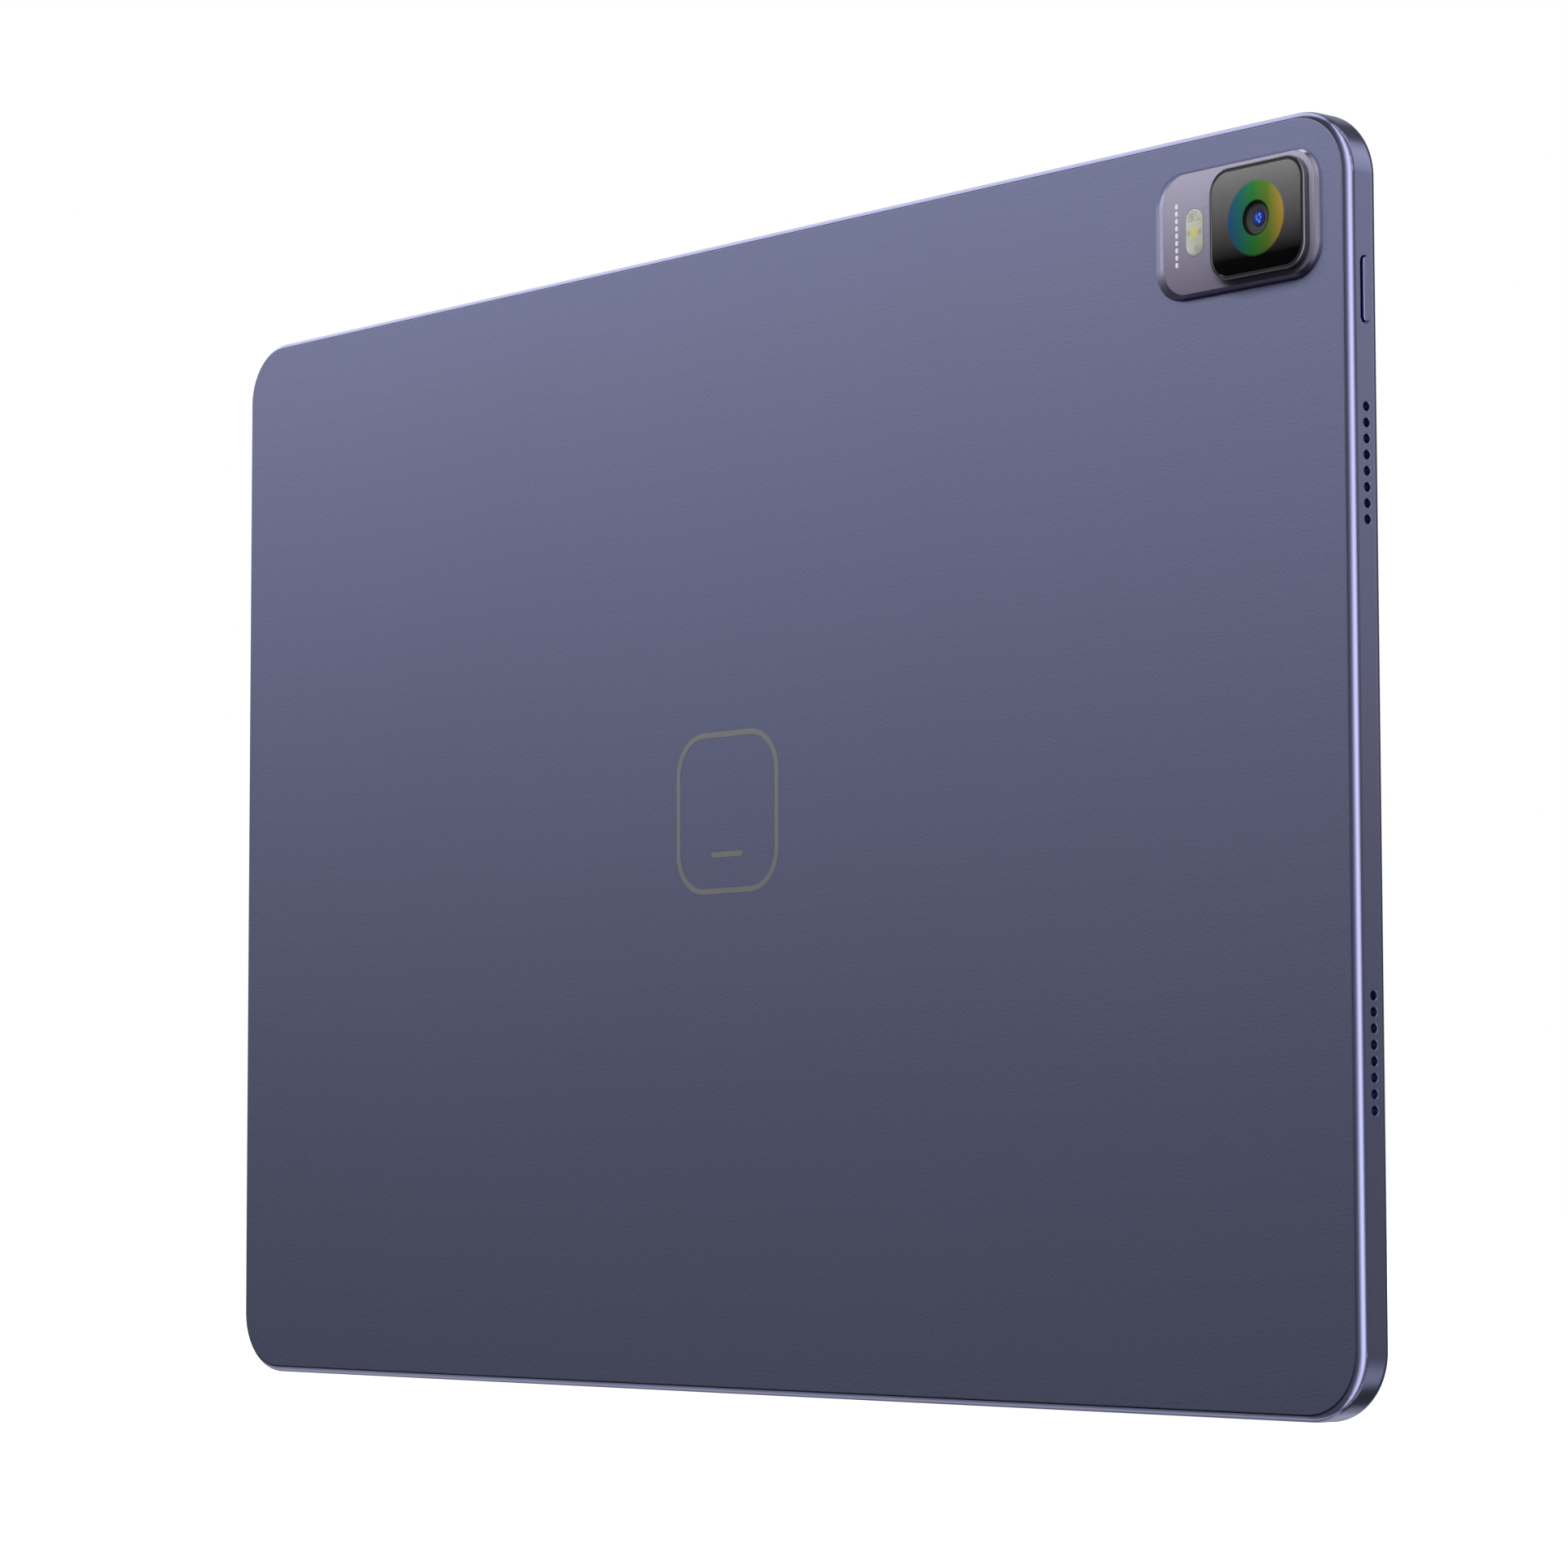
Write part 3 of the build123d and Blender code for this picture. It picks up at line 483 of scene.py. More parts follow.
for subpart in frame["record"]["subparts"]:
    paint(finishes[subpart["material_slot"]], subpart["node"])


def middle(node):
    low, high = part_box(node)
    return (Vector(low) + Vector(high)) / 2


def addPiece(name, build, body, material, smooth=None):
    # Turns a bmesh into a finished object on one body; smooth is an angle in degrees.
    bmesh.ops.remove_doubles(build, verts=build.verts, dist=1e-7)
    bmesh.ops.recalc_face_normals(build, faces=build.faces)
    mesh = bpy.data.meshes.new(name)
    build.to_mesh(mesh)
    build.free()
    if smooth is not None:
        mesh.shade_smooth()
        mesh.set_sharp_from_angle(angle=math.radians(smooth))
    mesh.materials.append(material)
    piece = bpy.data.objects.new(name, mesh)
    bpy.context.scene.collection.objects.link(piece)
    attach(piece, body)
    return piece


# Camera plate: painted shade that darkens its colour towards the bottom, with fine lines beside the lens
# block

plateLook = {
    # the top and bottom tones are painted shade: the plate is lighter at the top and darker at the bottom
    "top": (0.40, 0.375, 0.49),
    "bottom": (0.155, 0.14, 0.20),
    "linePitch": 0.28,
    "lineDepth": 0.35,
}


def dressPlate():
    material = finishes["camera_gloss"]
    nodes = material.node_tree.nodes
    join = material.node_tree.links.new
    shader = nodes["Principled BSDF"]
    low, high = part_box("camera_plate")
    place = nodes.new("ShaderNodeTexCoord")
    split = nodes.new("ShaderNodeSeparateXYZ")
    join(place.outputs["Object"], split.inputs[0])
    # painted shade: the colour runs from the darker bottom tone up to the lighter top tone
    rise = spread(nodes, join, split.outputs["Z"], low[2], high[2], 0, 1)
    base = mixColours(nodes, join, rise, plateLook["bottom"], plateLook["top"])
    lines = nodes.new("ShaderNodeTexNoise")
    lines.noise_dimensions = "1D"
    lines.inputs["Scale"].default_value = 1 / (plateLook["linePitch"] * mm)
    join(split.outputs["X"], lines.inputs["W"])
    beside = spread(nodes, join, split.outputs["X"], high[0] - 2.2 * mm, high[0] - 1.2 * mm, 0.15, 1)
    depth = nodes.new("ShaderNodeMath")
    depth.operation = "MULTIPLY"
    join(spread(nodes, join, lines.outputs[0], 0.4, 0.7, 0, plateLook["lineDepth"]), depth.inputs[0])
    join(beside, depth.inputs[1])
    lined = mixColours(nodes, join, depth.outputs[0], base, plateLook["bottom"])
    join(lined, shader.inputs["Base Color"])
    return material


plateShadedFinish = dressPlate()


# Camera bezel: polished like the frame, with a painted reflection that makes it lighter towards the right,
# and painted shade that makes its lower slope deep purple

# the left and right tones are a painted reflection, lighter on the right; the deep purple is painted shade on
# the lower slope
bezelPaintedLight = {"left": (0.46, 0.45, 0.66), "right": (0.62, 0.58, 0.7), "shadedFoot": (0.085, 0.07, 0.14), "fade": 4.2}


def dressBezel():
    material = makeFinish("bezelFinishAndPaintedLight", looks["body_metal"])
    nodes = material.node_tree.nodes
    join = material.node_tree.links.new
    shader = nodes["Principled BSDF"]
    low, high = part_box("camera_bezel")
    place = nodes.new("ShaderNodeTexCoord")
    split = nodes.new("ShaderNodeSeparateXYZ")
    join(place.outputs["Object"], split.inputs[0])
    # painted reflection: the upper colour goes from the left tone to the lighter right tone
    across = spread(nodes, join, split.outputs["X"], low[0] + 4 * mm, high[0] - 4 * mm, 0, 1)
    upper = mixColours(nodes, join, across, bezelPaintedLight["left"], bezelPaintedLight["right"])
    # painted shade: the lower slope is deep purple and fades up into the upper colour
    shadedFoot = low[2] + 0.7 * mm
    rise = spread(nodes, join, split.outputs["Z"], shadedFoot, shadedFoot + bezelPaintedLight["fade"] * mm, 0, 1)
    join(mixColours(nodes, join, rise, bezelPaintedLight["shadedFoot"], upper), shader.inputs["Base Color"])
    paint(material, "camera_bezel")


dressBezel()


# Lens face: black glass with a painted reflection running from grey at the top to black at the bottom, and an
# iridescent ring round the lens opening whose rainbow colours are a painted reflection

faceValues = {
    "sunk": 0.05, "thick": 0.7, "edge": 0.1, "corner": 3.1, "opening": 2.45, "sides": 64,
    "ringRadius": 5.8,
    # the two greys are a painted reflection on the glass, grey at the top and nearly black at the bottom
    "reflectionTop": (0.19, 0.19, 0.195),
    "reflectionBottom": (0.001, 0.001, 0.0015),
    "rainbow": [(0.0, (0.02, 0.08, 0.22)), (0.22, (0.02, 0.13, 0.12)), (0.45, (0.025, 0.19, 0.035)),
                (0.7, (0.10, 0.19, 0.025)), (1.0, (0.46, 0.28, 0.05))],
}
lensValues = {
    "baffleDepth": 0.5, "baffleThroat": 1.3, "baffleFall": 0.25, "paneThick": 0.1,
    "domeRadius": 1.35, "domeHeight": 0.35,
    "glints": [(0.3, 0.5, 0.17), (0.5, 0.05, 0.13), (0.2, -0.5, 0.2), (-0.3, 0.35, 0.12),
               (-0.2, -0.15, 0.15)],
}


def roundedPlate(build, centre, sizeX, sizeZ, corner, y, segments=10):
    # One flat face with rounded corners, facing -Y
    known = set(build.faces)
    corners = bmesh.ops.create_grid(build, x_segments=1, y_segments=1, size=0.5)["verts"]
    place = Matrix.Translation((centre[0], y, centre[1])) @ Matrix.Rotation(math.pi / 2, 4, "X")
    bmesh.ops.transform(build, verts=corners, matrix=place @ Matrix.Diagonal((sizeX, sizeZ, 1, 1)))
    bmesh.ops.bevel(build, geom=corners, offset=corner, segments=segments, affect="VERTICES", profile=0.5,
                    material=-1)
    return next(face for face in build.faces if face not in known)


def thicken(build, faces, y):
    # Pulls the faces along Y by that much and leaves them as the other side of a closed slab
    pulled = bmesh.ops.extrude_face_region(build, geom=faces)
    moved = [item for item in pulled["geom"] if isinstance(item, bmesh.types.BMVert)]
    bmesh.ops.translate(build, verts=moved, vec=(0, y, 0))


def makeFaceMaterial():
    values = faceValues
    material = finishes["mask_black"]
    nodes = material.node_tree.nodes
    join = material.node_tree.links.new
    shader = nodes["Principled BSDF"]
    low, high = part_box("lens_cover_glass")
    centre = middle("lens_cover_glass")
    place = nodes.new("ShaderNodeTexCoord")
    split = nodes.new("ShaderNodeSeparateXYZ")
    join(place.outputs["Object"], split.inputs[0])
    # painted reflection: the glass goes from nearly black at the bottom to grey at the top
    rise = spread(nodes, join, split.outputs["Z"], low[2] + 2 * mm, high[2] + 1 * mm, 0, 1)
    paintedReflection = mixColours(nodes, join, rise, values["reflectionBottom"], values["reflectionTop"])
    reach = values["ringRadius"] * mm
    # the ring is an iridescent coating; its rainbow, spread from blue on the left to ochre on the right, is a
    # painted reflection
    across = spread(nodes, join, split.outputs["X"], centre.x - reach, centre.x + reach, 0, 1)
    rainbow = nodes.new("ShaderNodeValToRGB")
    points = rainbow.color_ramp.elements
    while len(points) < len(values["rainbow"]):
        points.new(0.5)
    for point, (position, colour) in zip(points, values["rainbow"]):
        point.position = position
        point.color = (*colour, 1)
    join(across, rainbow.inputs[0])
    # painted shade: the ring darkens towards its bottom
    fade = spread(nodes, join, split.outputs["Z"], centre.z - reach, centre.z + reach, 0.5, 1.05)
    shaded = nodes.new("ShaderNodeVectorMath")
    shaded.operation = "SCALE"
    join(rainbow.outputs["Color"], shaded.inputs[0])
    join(fade, shaded.inputs["Scale"])
    spot = useGroup(nodes, roundGroup, Centre=centre)
    rim = spread(nodes, join, spot.outputs["Radius"], reach, reach - 0.35 * mm, 0, 1)
    disc = mixColours(nodes, join, rim, paintedReflection, shaded.outputs[0])
    hole = values["opening"] * mm
    core = spread(nodes, join, spot.outputs["Radius"], hole + 0.3 * mm, hole + 0.15 * mm, 0, 1)
    join(mixColours(nodes, join, core, disc, (0.004, 0.004, 0.005)), shader.inputs["Base Color"])
    return material


def makeClearMaterial():
    # A thin mirror that lets nearly all the light through
    material = bpy.data.materials.new("clearCover")
    material.use_nodes = True
    nodes = material.node_tree.nodes
    join = material.node_tree.links.new
    shader = nodes["Principled BSDF"]
    marks = useGroup(nodes, handlingGroup, Size=60, Amount=0.04)
    join(spread(nodes, join, marks.outputs["Mask"], 0, 1, 0.02, 0.3), shader.inputs["Roughness"])
    shader.inputs["Base Color"].default_value = (0.9, 0.92, 0.95, 1)
    shader.inputs["Metallic"].default_value = 1
    shader.inputs["Alpha"].default_value = 0.025
    return material


def makeElementMaterial(centre):
    # Blue-coated front element, blue in the middle and nearly black towards its rim, with a few painted
    # glints: bright spots of reflected light painted into its colour
    values = lensValues
    material = finishes["lens_glass"]
    nodes = material.node_tree.nodes
    join = material.node_tree.links.new
    shader = nodes["Principled BSDF"]
    spot = useGroup(nodes, roundGroup, Centre=centre)
    depth = spread(nodes, join, spot.outputs["Radius"], values["domeRadius"] * mm, 0.2 * mm, 0, 1)
    base = mixColours(nodes, join, depth, (0.008, 0.009, 0.03), (0.015, 0.03, 0.55))
    # painted glints: small bright blue spots of reflected light
    for x, z, radius in values["glints"]:
        place = centre + Vector((x * mm, 0, z * mm))
        glint = useGroup(nodes, roundGroup, Centre=place)
        bright = spread(nodes, join, glint.outputs["Radius"], 1.5 * radius * mm, 0.6 * radius * mm, 0, 1)
        base = mixColours(nodes, join, bright, base, (0.08, 0.45, 0.95))
    join(base, shader.inputs["Base Color"])
    return material


def makeLensFace():
    values = faceValues
    low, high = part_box("lens_cover_glass")
    centre = middle("lens_cover_glass")
    front = low[1]
    build = bmesh.new()
    roundedPlate(build, (centre.x, centre.z), high[0] - low[0], high[2] - low[2], values["corner"] * mm,
                 front, 12)
    outer = build.edges[:]
    bmesh.ops.delete(build, geom=build.faces[:], context="FACES_ONLY")
    ring = bmesh.ops.create_circle(build, segments=values["sides"], radius=values["opening"] * mm)["verts"]
    place = Matrix.Translation((centre.x, front, centre.z)) @ Matrix.Rotation(math.pi / 2, 4, "X")
    bmesh.ops.transform(build, verts=ring, matrix=place)
    hole = list({edge for vert in ring for edge in vert.link_edges})
    bmesh.ops.triangle_fill(build, edges=outer + hole, use_beauty=True, normal=(0, -1, 0))
    thicken(build, build.faces[:], values["thick"] * mm)
    rim = [edge for edge in build.edges
           if all(abs(vert.co.y - front) < 1e-6 for vert in edge.verts) and edge.calc_face_angle(0) > 1]
    bmesh.ops.bevel(build, geom=rim, offset=values["edge"] * mm, segments=3, affect="EDGES", profile=0.5,
                    material=-1)
    face = addPiece("lensFace", build, "tablet", makeFaceMaterial(), 30)
    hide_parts("lens_mask")

    clear = makeClearMaterial()
    build = bmesh.new()
    pane = bmesh.ops.create_circle(build, cap_ends=True, segments=values["sides"],
                                   radius=(values["opening"] - 0.02) * mm)["verts"]
    place = Matrix.Translation((centre.x, front + 0.02 * mm, centre.z)) @ Matrix.Rotation(math.pi / 2, 4, "X")
    bmesh.ops.transform(build, verts=pane, matrix=place)
    thicken(build, build.faces[:], lensValues["paneThick"] * mm)
    pane = addPiece("lensPane", build, "tablet", clear, 30)
    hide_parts("lens_cover_glass")


def makeLens():
    values = lensValues
    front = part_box("lens_cover_glass")[0][1]
    centre = middle("lens_cover_glass")
    hub = Vector((centre.x, front + values["baffleDepth"] * mm, centre.z))
    build = bmesh.new()
    radii = [(faceValues["opening"] - 0.06, 0.25), (faceValues["opening"] - 0.06, 0), (2.2, 0),
             (values["baffleThroat"], values["baffleFall"]),
              (values["baffleThroat"], values["baffleFall"] + 0.25)]
    line = [build.verts.new(hub + Vector((radius * mm, fall * mm, 0))) for radius, fall in radii]
    edges = [build.edges.new(pair) for pair in zip(line, line[1:])]
    bmesh.ops.spin(build, geom=line + edges, cent=hub, axis=(0, 1, 0), angle=2 * math.pi,
                   steps=faceValues["sides"], use_merge=True)
    baffle = makeFinish("baffleBlack", {"colour": (0.045, 0.045, 0.047), "roughness": (0.35, 0.45),
                                        "grain": 3000, "bump": 0.1})
    addPiece("lensBaffle", build, "focus", baffle, 25)

    build = bmesh.new()
    dome = bmesh.ops.create_uvsphere(build, u_segments=40, v_segments=20, radius=1)["verts"]
    base = hub + Vector((0, (values["baffleFall"] + 0.1) * mm, 0))
    bulge = values["domeRadius"] * mm
    size = Matrix.Diagonal((bulge, values["domeHeight"] * mm, bulge, 1))
    turn = Matrix.Rotation(math.pi / 2, 4, "X")
    bmesh.ops.transform(build, verts=dome, matrix=Matrix.Translation(base) @ size @ turn)
    element = addPiece("lensElement", build, "focus", makeElementMaterial(base), 60)
    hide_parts("lens_stack")


makeLensFace()
makeLens()


# Screen glass: black border, a slightly lighter unlit picture area, and the front camera behind it

screenLook = {
    "border": (0.003, 0.003, 0.004),
    "picture": (0.007, 0.007, 0.009),
    "pictureHalf": (128.9, 10, 85.95),
    "cameraZ": 186.8,
    "sensorX": 12,
}


def dressScreen():
    material = finishes["cover_glass"]
    nodes = material.node_tree.nodes
    join = material.node_tree.links.new
    shader = nodes["Principled BSDF"]
    centre = middle("front_glass")
    half = Vector(screenLook["pictureHalf"]) * mm
    picture = useGroup(nodes, boxGroup, Centre=centre, Half=half, Soft=0.2 * mm)
    base = mixColours(nodes, join, picture.outputs["Mask"], screenLook["border"], screenLook["picture"])
    eye = useGroup(nodes, roundGroup, Centre=(0, 0, screenLook["cameraZ"] * mm))
    for outer, inner, colour in ((2.0, 1.9, (0.015, 0.015, 0.018)), (1.5, 1.4, (0.002, 0.002, 0.003)),
                                 (0.8, 0.6, (0.012, 0.016, 0.05)), (0.35, 0.25, (0.002, 0.002, 0.004))):
        ring = spread(nodes, join, eye.outputs["Radius"], outer * mm, inner * mm, 0, 1)
        base = mixColours(nodes, join, ring, base, colour)
    sensor = useGroup(nodes, roundGroup, Centre=(screenLook["sensorX"] * mm, 0, screenLook["cameraZ"] * mm))
    dot = spread(nodes, join, sensor.outputs["Radius"], 0.8 * mm, 0.7 * mm, 0, 1)
    base = mixColours(nodes, join, dot, base, (0.012, 0.008, 0.012))
    join(base, shader.inputs["Base Color"])
    marks = useGroup(nodes, handlingGroup, Size=18, Amount=0.5)
    join(spread(nodes, join, marks.outputs["Mask"], 0, 1, 0.03, 0.11), shader.inputs["Roughness"])


dressScreen()
print("plate, mask and glass dressed")


# Plate rim: a thin band that carries the plate's gloss across its gap to the edge of the bezel

rimValues = {"corner": 4.3, "spread": 0.27, "band": 0.5, "proud": 0.008, "thick": 0.03,
             "channelX": 113.0, "channelWidth": 2.98, "channelLength": 7.14, "channelCorner": 0.39,
             "channelDepth": 0.03}


def makePlateRim():
    values = rimValues
    low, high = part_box("camera_plate")
    centre = middle("camera_plate")
    wider = values["spread"] * mm
    build = bmesh.new()
    roundedPlate(build, (centre.x, centre.z), high[0] - low[0] + 2 * wider, high[2] - low[2] + 2 * wider,
                 values["corner"] * mm + wider, low[1] - values["proud"] * mm, 20)
    inner = build.faces[:]
    bmesh.ops.inset_region(build, faces=inner, thickness=values["band"] * mm, use_boundary=True,
                           use_even_offset=True)
    bmesh.ops.delete(build, geom=inner, context="FACES_ONLY")
    thicken(build, build.faces[:], values["thick"] * mm)
    addPiece("plateRim", build, "tablet", plateShadedFinish)

    build = bmesh.new()
    roundedPlate(build, (values["channelX"] * mm, middle("flash_window").z), values["channelWidth"] * mm,
                 values["channelLength"] * mm,
                 values["channelCorner"] * mm, low[1] + values["channelDepth"] * mm, 8)
    thicken(build, build.faces[:], values["thick"] * mm)
    addPiece("channelFloor", build, "tablet", plateShadedFinish)
    print("plate rim and channel floor done")


makePlateRim()


# Frame coat: the anodised skin of the frame, with fine bevels, countersunk sound holes and the other openings

coatValues = {
    "corner": 10.5, "backBevel": 1.6, "frontBevel": 1.9, "backRim": 0.92, "frontRim": 0.84,
    "proud": 0.025, "thick": 0.3, "cornerSteps": 32, "bevelSteps": 16, "innerSteps": 3,
}
openingValues = {
    "sideY": 1.25, "middleZ": 96, "reach": 0.8,
    "soundRadius": 0.715, "soundFlare": 0.1, "soundSides": 24, "soundOffset": 42.87, "soundHoles": 8,
    "soundPitch": 2.37, "micRadius": 0.44, "micFlare": 0.06,
    # wall, place along it, length and width of each slot
    "slots": [("right", 164.4, 10.18, 1.98), ("top", 109.5, 22.38, 1.98), ("left", 117.5, 13.38, 2.08),
              ("left", 96, 9.22, 3.54)],
    "mics": [("left", 76), ("top", 70)],
}


def coatProfile(values, back, front):
    # The coat's closed section: inset from the edge, and Y, both in mm, up the outside and down the inside
    def arc(bevel, radius, rim, steps):
        start = math.asin((bevel - rim) / (bevel + values["proud"]))
        for step in range(steps + 1):
            angle = start + (math.pi / 2 - start) * step / steps
            yield bevel - radius * math.sin(angle), bevel - radius * math.cos(angle)

    section = []
    for offset, steps in ((values["proud"], values["bevelSteps"]), (-values["thick"], values["innerSteps"])):
        bevel = values["backBevel"]
        rise = [(inset, back + y) for inset, y in arc(bevel, bevel + offset, values["backRim"], steps)]
        bevel = values["frontBevel"]
        fall = [(inset, front - y) for inset, y in arc(bevel, bevel + offset, values["frontRim"], steps)]
        section.append(rise + fall[::-1])
    return section[0] + section[1][::-1]


def wallPlace(wall, along):
    # A matrix whose +Z points out of that wall of the frame, at a place along it
    low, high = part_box("mid_frame")
    y = openingValues["sideY"] * mm
    if wall == "top":
        return Matrix.Translation((along * mm, y, high[2]))
    side = 1 if wall == "right" else -1
    turn = Matrix.Rotation(side * math.pi / 2, 4, "Y")
    return Matrix.Translation((high[0] if side > 0 else low[0], y, along * mm)) @ turn


def soundCutter(build, place, radius, flare, sides):
    reach = openingValues["reach"]
    rings = []
    for size, rise in ((radius, -reach), (radius, -flare), (radius + flare, 0), (radius + 2 * flare, flare)):
        verts = bmesh.ops.create_circle(build, segments=sides, radius=size * mm)["verts"]
        bmesh.ops.transform(build, verts=verts, matrix=place @ Matrix.Translation((0, 0, rise * mm)))
        rings.append(list({edge for vert in verts for edge in vert.link_edges}))
    for first, second in zip(rings, rings[1:]):
        bmesh.ops.bridge_loops(build, edges=first + second)
    bmesh.ops.holes_fill(build, edges=rings[0] + rings[-1], sides=0)


def slotCutter(build, place, length, width):
    reach = openingValues["reach"] * mm
    corners = bmesh.ops.create_grid(build, x_segments=1, y_segments=1, size=0.5)["verts"]
    size = Matrix.Diagonal((length * mm, width * mm, 1, 1))
    lowered = place @ Matrix.Translation((0, 0, -reach)) @ size
    bmesh.ops.transform(build, verts=corners, matrix=lowered)
    known = set(build.faces) - set(corners[0].link_faces)
    bmesh.ops.bevel(build, geom=corners, offset=width / 2 * 0.995 * mm, segments=12, affect="VERTICES",
                    profile=0.5, material=-1)
    flat = [face for face in build.faces if face not in known]
    pulled = bmesh.ops.extrude_face_region(build, geom=flat)
    moved = [item for item in pulled["geom"] if isinstance(item, bmesh.types.BMVert)]
    outward = place.to_3x3() @ Vector((0, 0, 2 * reach))
    bmesh.ops.translate(build, verts=moved, vec=outward)


def makeOpenings():
    values = openingValues
    build = bmesh.new()
    for wall, along, length, width in values["slots"]:
        slotCutter(build, wallPlace(wall, along), length, width)
    for wall, along in values["mics"]:
        place = wallPlace(wall, along)
        soundCutter(build, place, values["micRadius"], values["micFlare"], values["soundSides"])
    for wall in ("right", "left"):
        for level in (-1, 1):
            start = values["middleZ"] + level * values["soundOffset"]
            start -= (values["soundHoles"] - 1) / 2 * values["soundPitch"]
            for hole in range(values["soundHoles"]):
                place = wallPlace(wall, start + hole * values["soundPitch"])
                soundCutter(build, place, values["soundRadius"], values["soundFlare"], values["soundSides"])
    bmesh.ops.recalc_face_normals(build, faces=build.faces)
    mesh = bpy.data.meshes.new("openings")
    build.to_mesh(mesh)
    build.free()
    return mesh


def cutWith(piece, mesh):
    # Cuts the mesh out of the piece and keeps the result as the piece's own mesh
    tool = bpy.data.objects.new("openingTool", mesh)
    bpy.context.scene.collection.objects.link(tool)
    cut = piece.modifiers.new("openings", "BOOLEAN")
    cut.operation = "DIFFERENCE"
    cut.solver = "EXACT"
    cut.object = tool
    graph = bpy.context.evaluated_depsgraph_get()
    result = bpy.data.meshes.new_from_object(piece.evaluated_get(graph))
    piece.modifiers.remove(cut)
    piece.data = result
    bpy.data.objects.remove(tool)


def makeFrameCoat():
    values = coatValues
    low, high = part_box("mid_frame")
    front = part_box("front_glass")[1][1]
    centre = ((low[0] + high[0]) / 2, (low[2] + high[2]) / 2)
    build = bmesh.new()
    loops = []
    for inset, y in coatProfile(values, low[1] / mm, front / mm):
        taken = 2 * inset * mm
        face = roundedPlate(build, centre, high[0] - low[0] - taken, high[2] - low[2] - taken,
                            (values["corner"] - inset) * mm, y * mm, values["cornerSteps"])
        loops.append(face.edges[:])
        build.faces.remove(face)
    for first, second in zip(loops, loops[1:] + loops[:1]):
        bmesh.ops.bridge_loops(build, edges=first + second)
    coat = addPiece("frameCoat", build, "tablet", finishes["body_metal"])
    cutWith(coat, makeOpenings())
    coat.data.shade_smooth()
    coat.data.set_sharp_from_angle(angle=math.radians(30))
    even = coat.modifiers.new("evenNormals", "WEIGHTED_NORMAL")
    even.keep_sharp = True
    even.weight = 60
    print("frame coat:", len(coat.data.polygons), "faces")


makeFrameCoat()


# Flash window: a milky stadium with curved flutes round each end and a warm lamp glow in the middle

flashValues = {
    "width": 3.5, "length": 7.16, "base": 0.5, "edge": 0.1, "flutes": 6, "fluteRadius": 0.12,
    "innerFlute": 0.3, "sides": 12, "arcSteps": 20, "sunk": 0.05,
}


def makeFlashMaterial(centre):
    material = makeFinish("flutedWindow", looks["window_clear"])
    nodes = material.node_tree.nodes
    join = material.node_tree.links.new
    shader = nodes["Principled BSDF"]
    place = nodes.new("ShaderNodeTexCoord")
    split = nodes.new("ShaderNodeSeparateXYZ")
    join(place.outputs["Object"], split.inputs[0])
    glow = useGroup(nodes, roundGroup, Centre=centre)
    warm = spread(nodes, join, glow.outputs["Radius"], 1.2 * mm, 0.2 * mm, 0, 1)
    base = mixColours(nodes, join, warm, (0.56, 0.57, 0.50), (0.72, 0.66, 0.09))
    # painted shade: the window darkens towards +X
    shade = spread(nodes, join, split.outputs["X"], centre.x - 1.75 * mm, centre.x + 1.75 * mm, 0, 0.45)
    base = mixColours(nodes, join, shade, base, (0.30, 0.30, 0.26))
    for offset in (-1.15, 1.15):
        side = useGroup(nodes, roundGroup, Centre=centre + Vector((offset * mm, 0, 0)))
        dark = spread(nodes, join, side.outputs["Radius"], 0.6 * mm, 0.1 * mm, 0, 0.4)
        base = mixColours(nodes, join, dark, base, (0.10, 0.10, 0.08))
    join(base, shader.inputs["Base Color"])
    return material


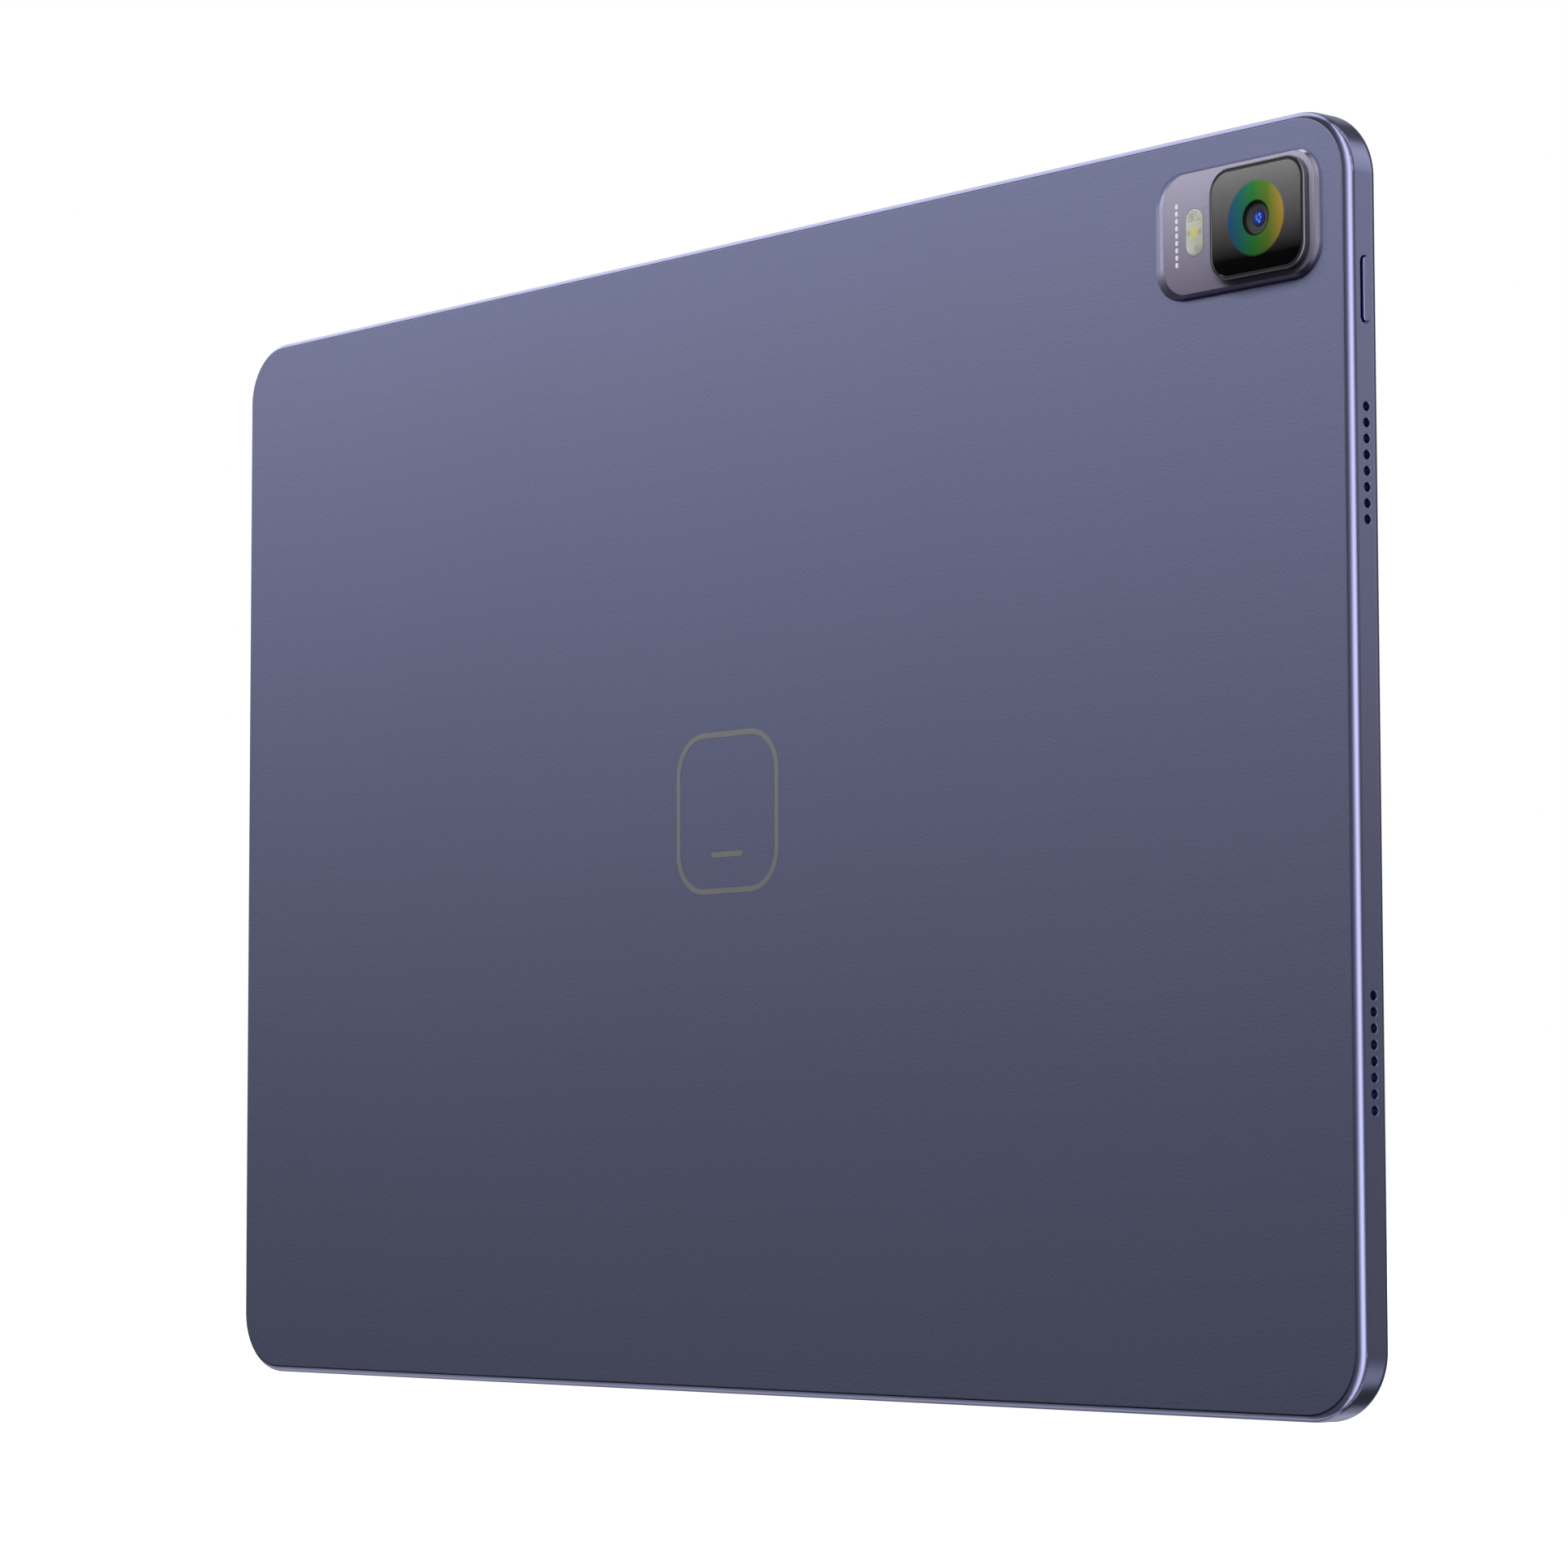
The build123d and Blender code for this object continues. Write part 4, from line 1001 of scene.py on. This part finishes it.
def makeFlashWindow():
    values = flashValues
    low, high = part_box("flash_window")
    centre = middle("flash_window")
    face = low[1]
    half = values["width"] / 2 * mm
    straight = (values["length"] - values["width"]) / 2 * mm
    material = makeFlashMaterial(centre)

    build = bmesh.new()
    start = build.verts.new((centre.x + half, face, centre.z + straight))
    bmesh.ops.spin(build, geom=[start], cent=(centre.x, face, centre.z + straight), axis=(0, -1, 0),
                   angle=math.pi, steps=values["arcSteps"])
    start = build.verts.new((centre.x - half, face, centre.z - straight))
    bmesh.ops.spin(build, geom=[start], cent=(centre.x, face, centre.z - straight), axis=(0, -1, 0),
                   angle=math.pi, steps=values["arcSteps"])
    build.verts.ensure_lookup_table()
    ends = [vert for vert in build.verts if len(vert.link_edges) == 1]
    ends.sort(key=lambda vert: (vert.co.x, vert.co.z))
    build.edges.new((ends[0], ends[1]))
    build.edges.new((ends[2], ends[3]))
    bmesh.ops.contextual_create(build, geom=build.edges[:])
    top = build.faces[:]
    sunk = bmesh.ops.extrude_face_region(build, geom=top)
    moved = [item for item in sunk["geom"] if isinstance(item, bmesh.types.BMVert)]
    bmesh.ops.translate(build, verts=moved, vec=(0, values["base"] * mm, 0))
    rim = [edge for edge in build.edges if all(abs(vert.co.y - face) < 1e-6 for vert in edge.verts)]
    bmesh.ops.bevel(build, geom=rim, offset=values["edge"] * mm, segments=2, affect="EDGES", profile=0.5,
                    material=-1)
    piece = addPiece("flashWindowBody", build, "tablet", material, 40)
    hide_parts("flash_window")

    build = bmesh.new()
    step = (half - (values["innerFlute"] + 0.1) * mm) / values["flutes"]
    for end in (1, -1):
        hub = Vector((centre.x, face, centre.z + end * straight))
        for flute in range(values["flutes"]):
            radius = values["innerFlute"] * mm + flute * step
            ring = bmesh.ops.create_circle(build, segments=values["sides"], radius=values["fluteRadius"] * mm)
            place = Matrix.Translation(hub + Vector((radius, values["sunk"] * mm, 0)))
            bmesh.ops.transform(build, verts=ring["verts"], matrix=place)
            edges = list({edge for vert in ring["verts"] for edge in vert.link_edges})
            bmesh.ops.spin(build, geom=ring["verts"] + edges, cent=hub, axis=(0, -end, 0), angle=math.pi,
                           steps=values["arcSteps"])
    bmesh.ops.holes_fill(build, edges=build.edges[:], sides=values["sides"])
    addPiece("flashFlutes", build, "tablet", material, 50)


makeFlashWindow()


# Printed marks: a plain outline on the back and a row of dots beside the flash

markValues = {
    "width": 26.0, "height": 27.0, "corner": 7.0, "stroke": 0.9, "thick": 0.02, "barDrop": 7, "barLength": 8,
    "colour": (0.33, 0.33, 0.325),
    "dotsX": 105.9, "dots": 9, "dotPitch": 1.12, "dotSize": (0.55, 0.75), "white": (0.78, 0.78, 0.80),
}


def makePrint():
    values = markValues
    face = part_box("back_cover")[0][1]
    centre = middle("back_cover")
    silver = makeFinish("silverPrint", {"colour": values["colour"], "roughness": (0.4, 0.5), "grain": 2000,
                                        "bump": 0.2, "metal": 0.2})
    white = makeFinish("whitePrint", {"colour": values["white"], "roughness": (0.4, 0.5), "grain": 2000,
                                      "bump": 0.2})
    build = bmesh.new()
    roundedPlate(build, (centre.x, centre.z), values["width"] * mm, values["height"] * mm,
                 values["corner"] * mm, face, 16)
    inner = build.faces[:]
    bmesh.ops.inset_region(build, faces=inner, thickness=values["stroke"] * mm, use_boundary=True,
                           use_even_offset=True)
    bmesh.ops.delete(build, geom=inner, context="FACES_ONLY")
    thicken(build, build.faces[:], -values["thick"] * mm)
    addPiece("backOutline", build, "tablet", silver)
    build = bmesh.new()
    roundedPlate(build, (centre.x, centre.z - values["barDrop"] * mm), values["barLength"] * mm,
                 values["stroke"] * mm, 0.44 * mm, face)
    thicken(build, build.faces[:], -values["thick"] * mm)
    addPiece("backBar", build, "tablet", silver)

    build = bmesh.new()
    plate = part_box("camera_bezel")[0][1]
    start = middle("flash_window").z - (values["dots"] - 1) / 2 * values["dotPitch"] * mm
    roundedPlate(build, (values["dotsX"] * mm, start), values["dotSize"][0] * mm, values["dotSize"][1] * mm,
                 0.2 * mm, plate, 4)
    thicken(build, build.faces[:], -values["thick"] * mm)
    first = build.verts[:] + build.edges[:] + build.faces[:]
    for dot in range(1, values["dots"]):
        copy = bmesh.ops.duplicate(build, geom=first)["geom"]
        moved = [item for item in copy if isinstance(item, bmesh.types.BMVert)]
        bmesh.ops.translate(build, verts=moved, vec=(0, 0, dot * values["dotPitch"] * mm))
    addPiece("flashDots", build, "tablet", white)


makePrint()


# USB-C contacts on the tongue

contactValues = {"count": 12, "pitch": 0.5, "width": 0.28, "length": 3.2, "thick": 0.03,
                 "colour": (0.75, 0.55, 0.22)}


def makeContacts():
    values = contactValues
    low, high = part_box("port_tongue")
    centre = middle("port_tongue")
    gold = makeFinish("goldPlate", {"colour": values["colour"], "metal": 1, "roughness": (0.2, 0.3),
                                      "grain": 1500,
                                    "bump": 0.1})
    build = bmesh.new()
    for side, y in ((-1, low[1]), (1, high[1])):
        for contact in range(values["count"]):
            z = centre.z + (contact - (values["count"] - 1) / 2) * values["pitch"] * mm
            block = bmesh.ops.create_cube(build, size=1)["verts"]
            size = Matrix.Diagonal((values["length"] * mm, values["thick"] * mm, values["width"] * mm, 1))
            place = Matrix.Translation((low[0] + (values["length"] / 2 + 0.3) * mm, y, z))
            bmesh.ops.transform(build, verts=block, matrix=place @ size)
    bmesh.ops.bevel(build, geom=build.edges[:], offset=0.01 * mm, segments=1, affect="EDGES", profile=0.5,
                    material=-1)
    addPiece("portContacts", build, "tablet", gold, 40)


makeContacts()
print("detail pieces made")
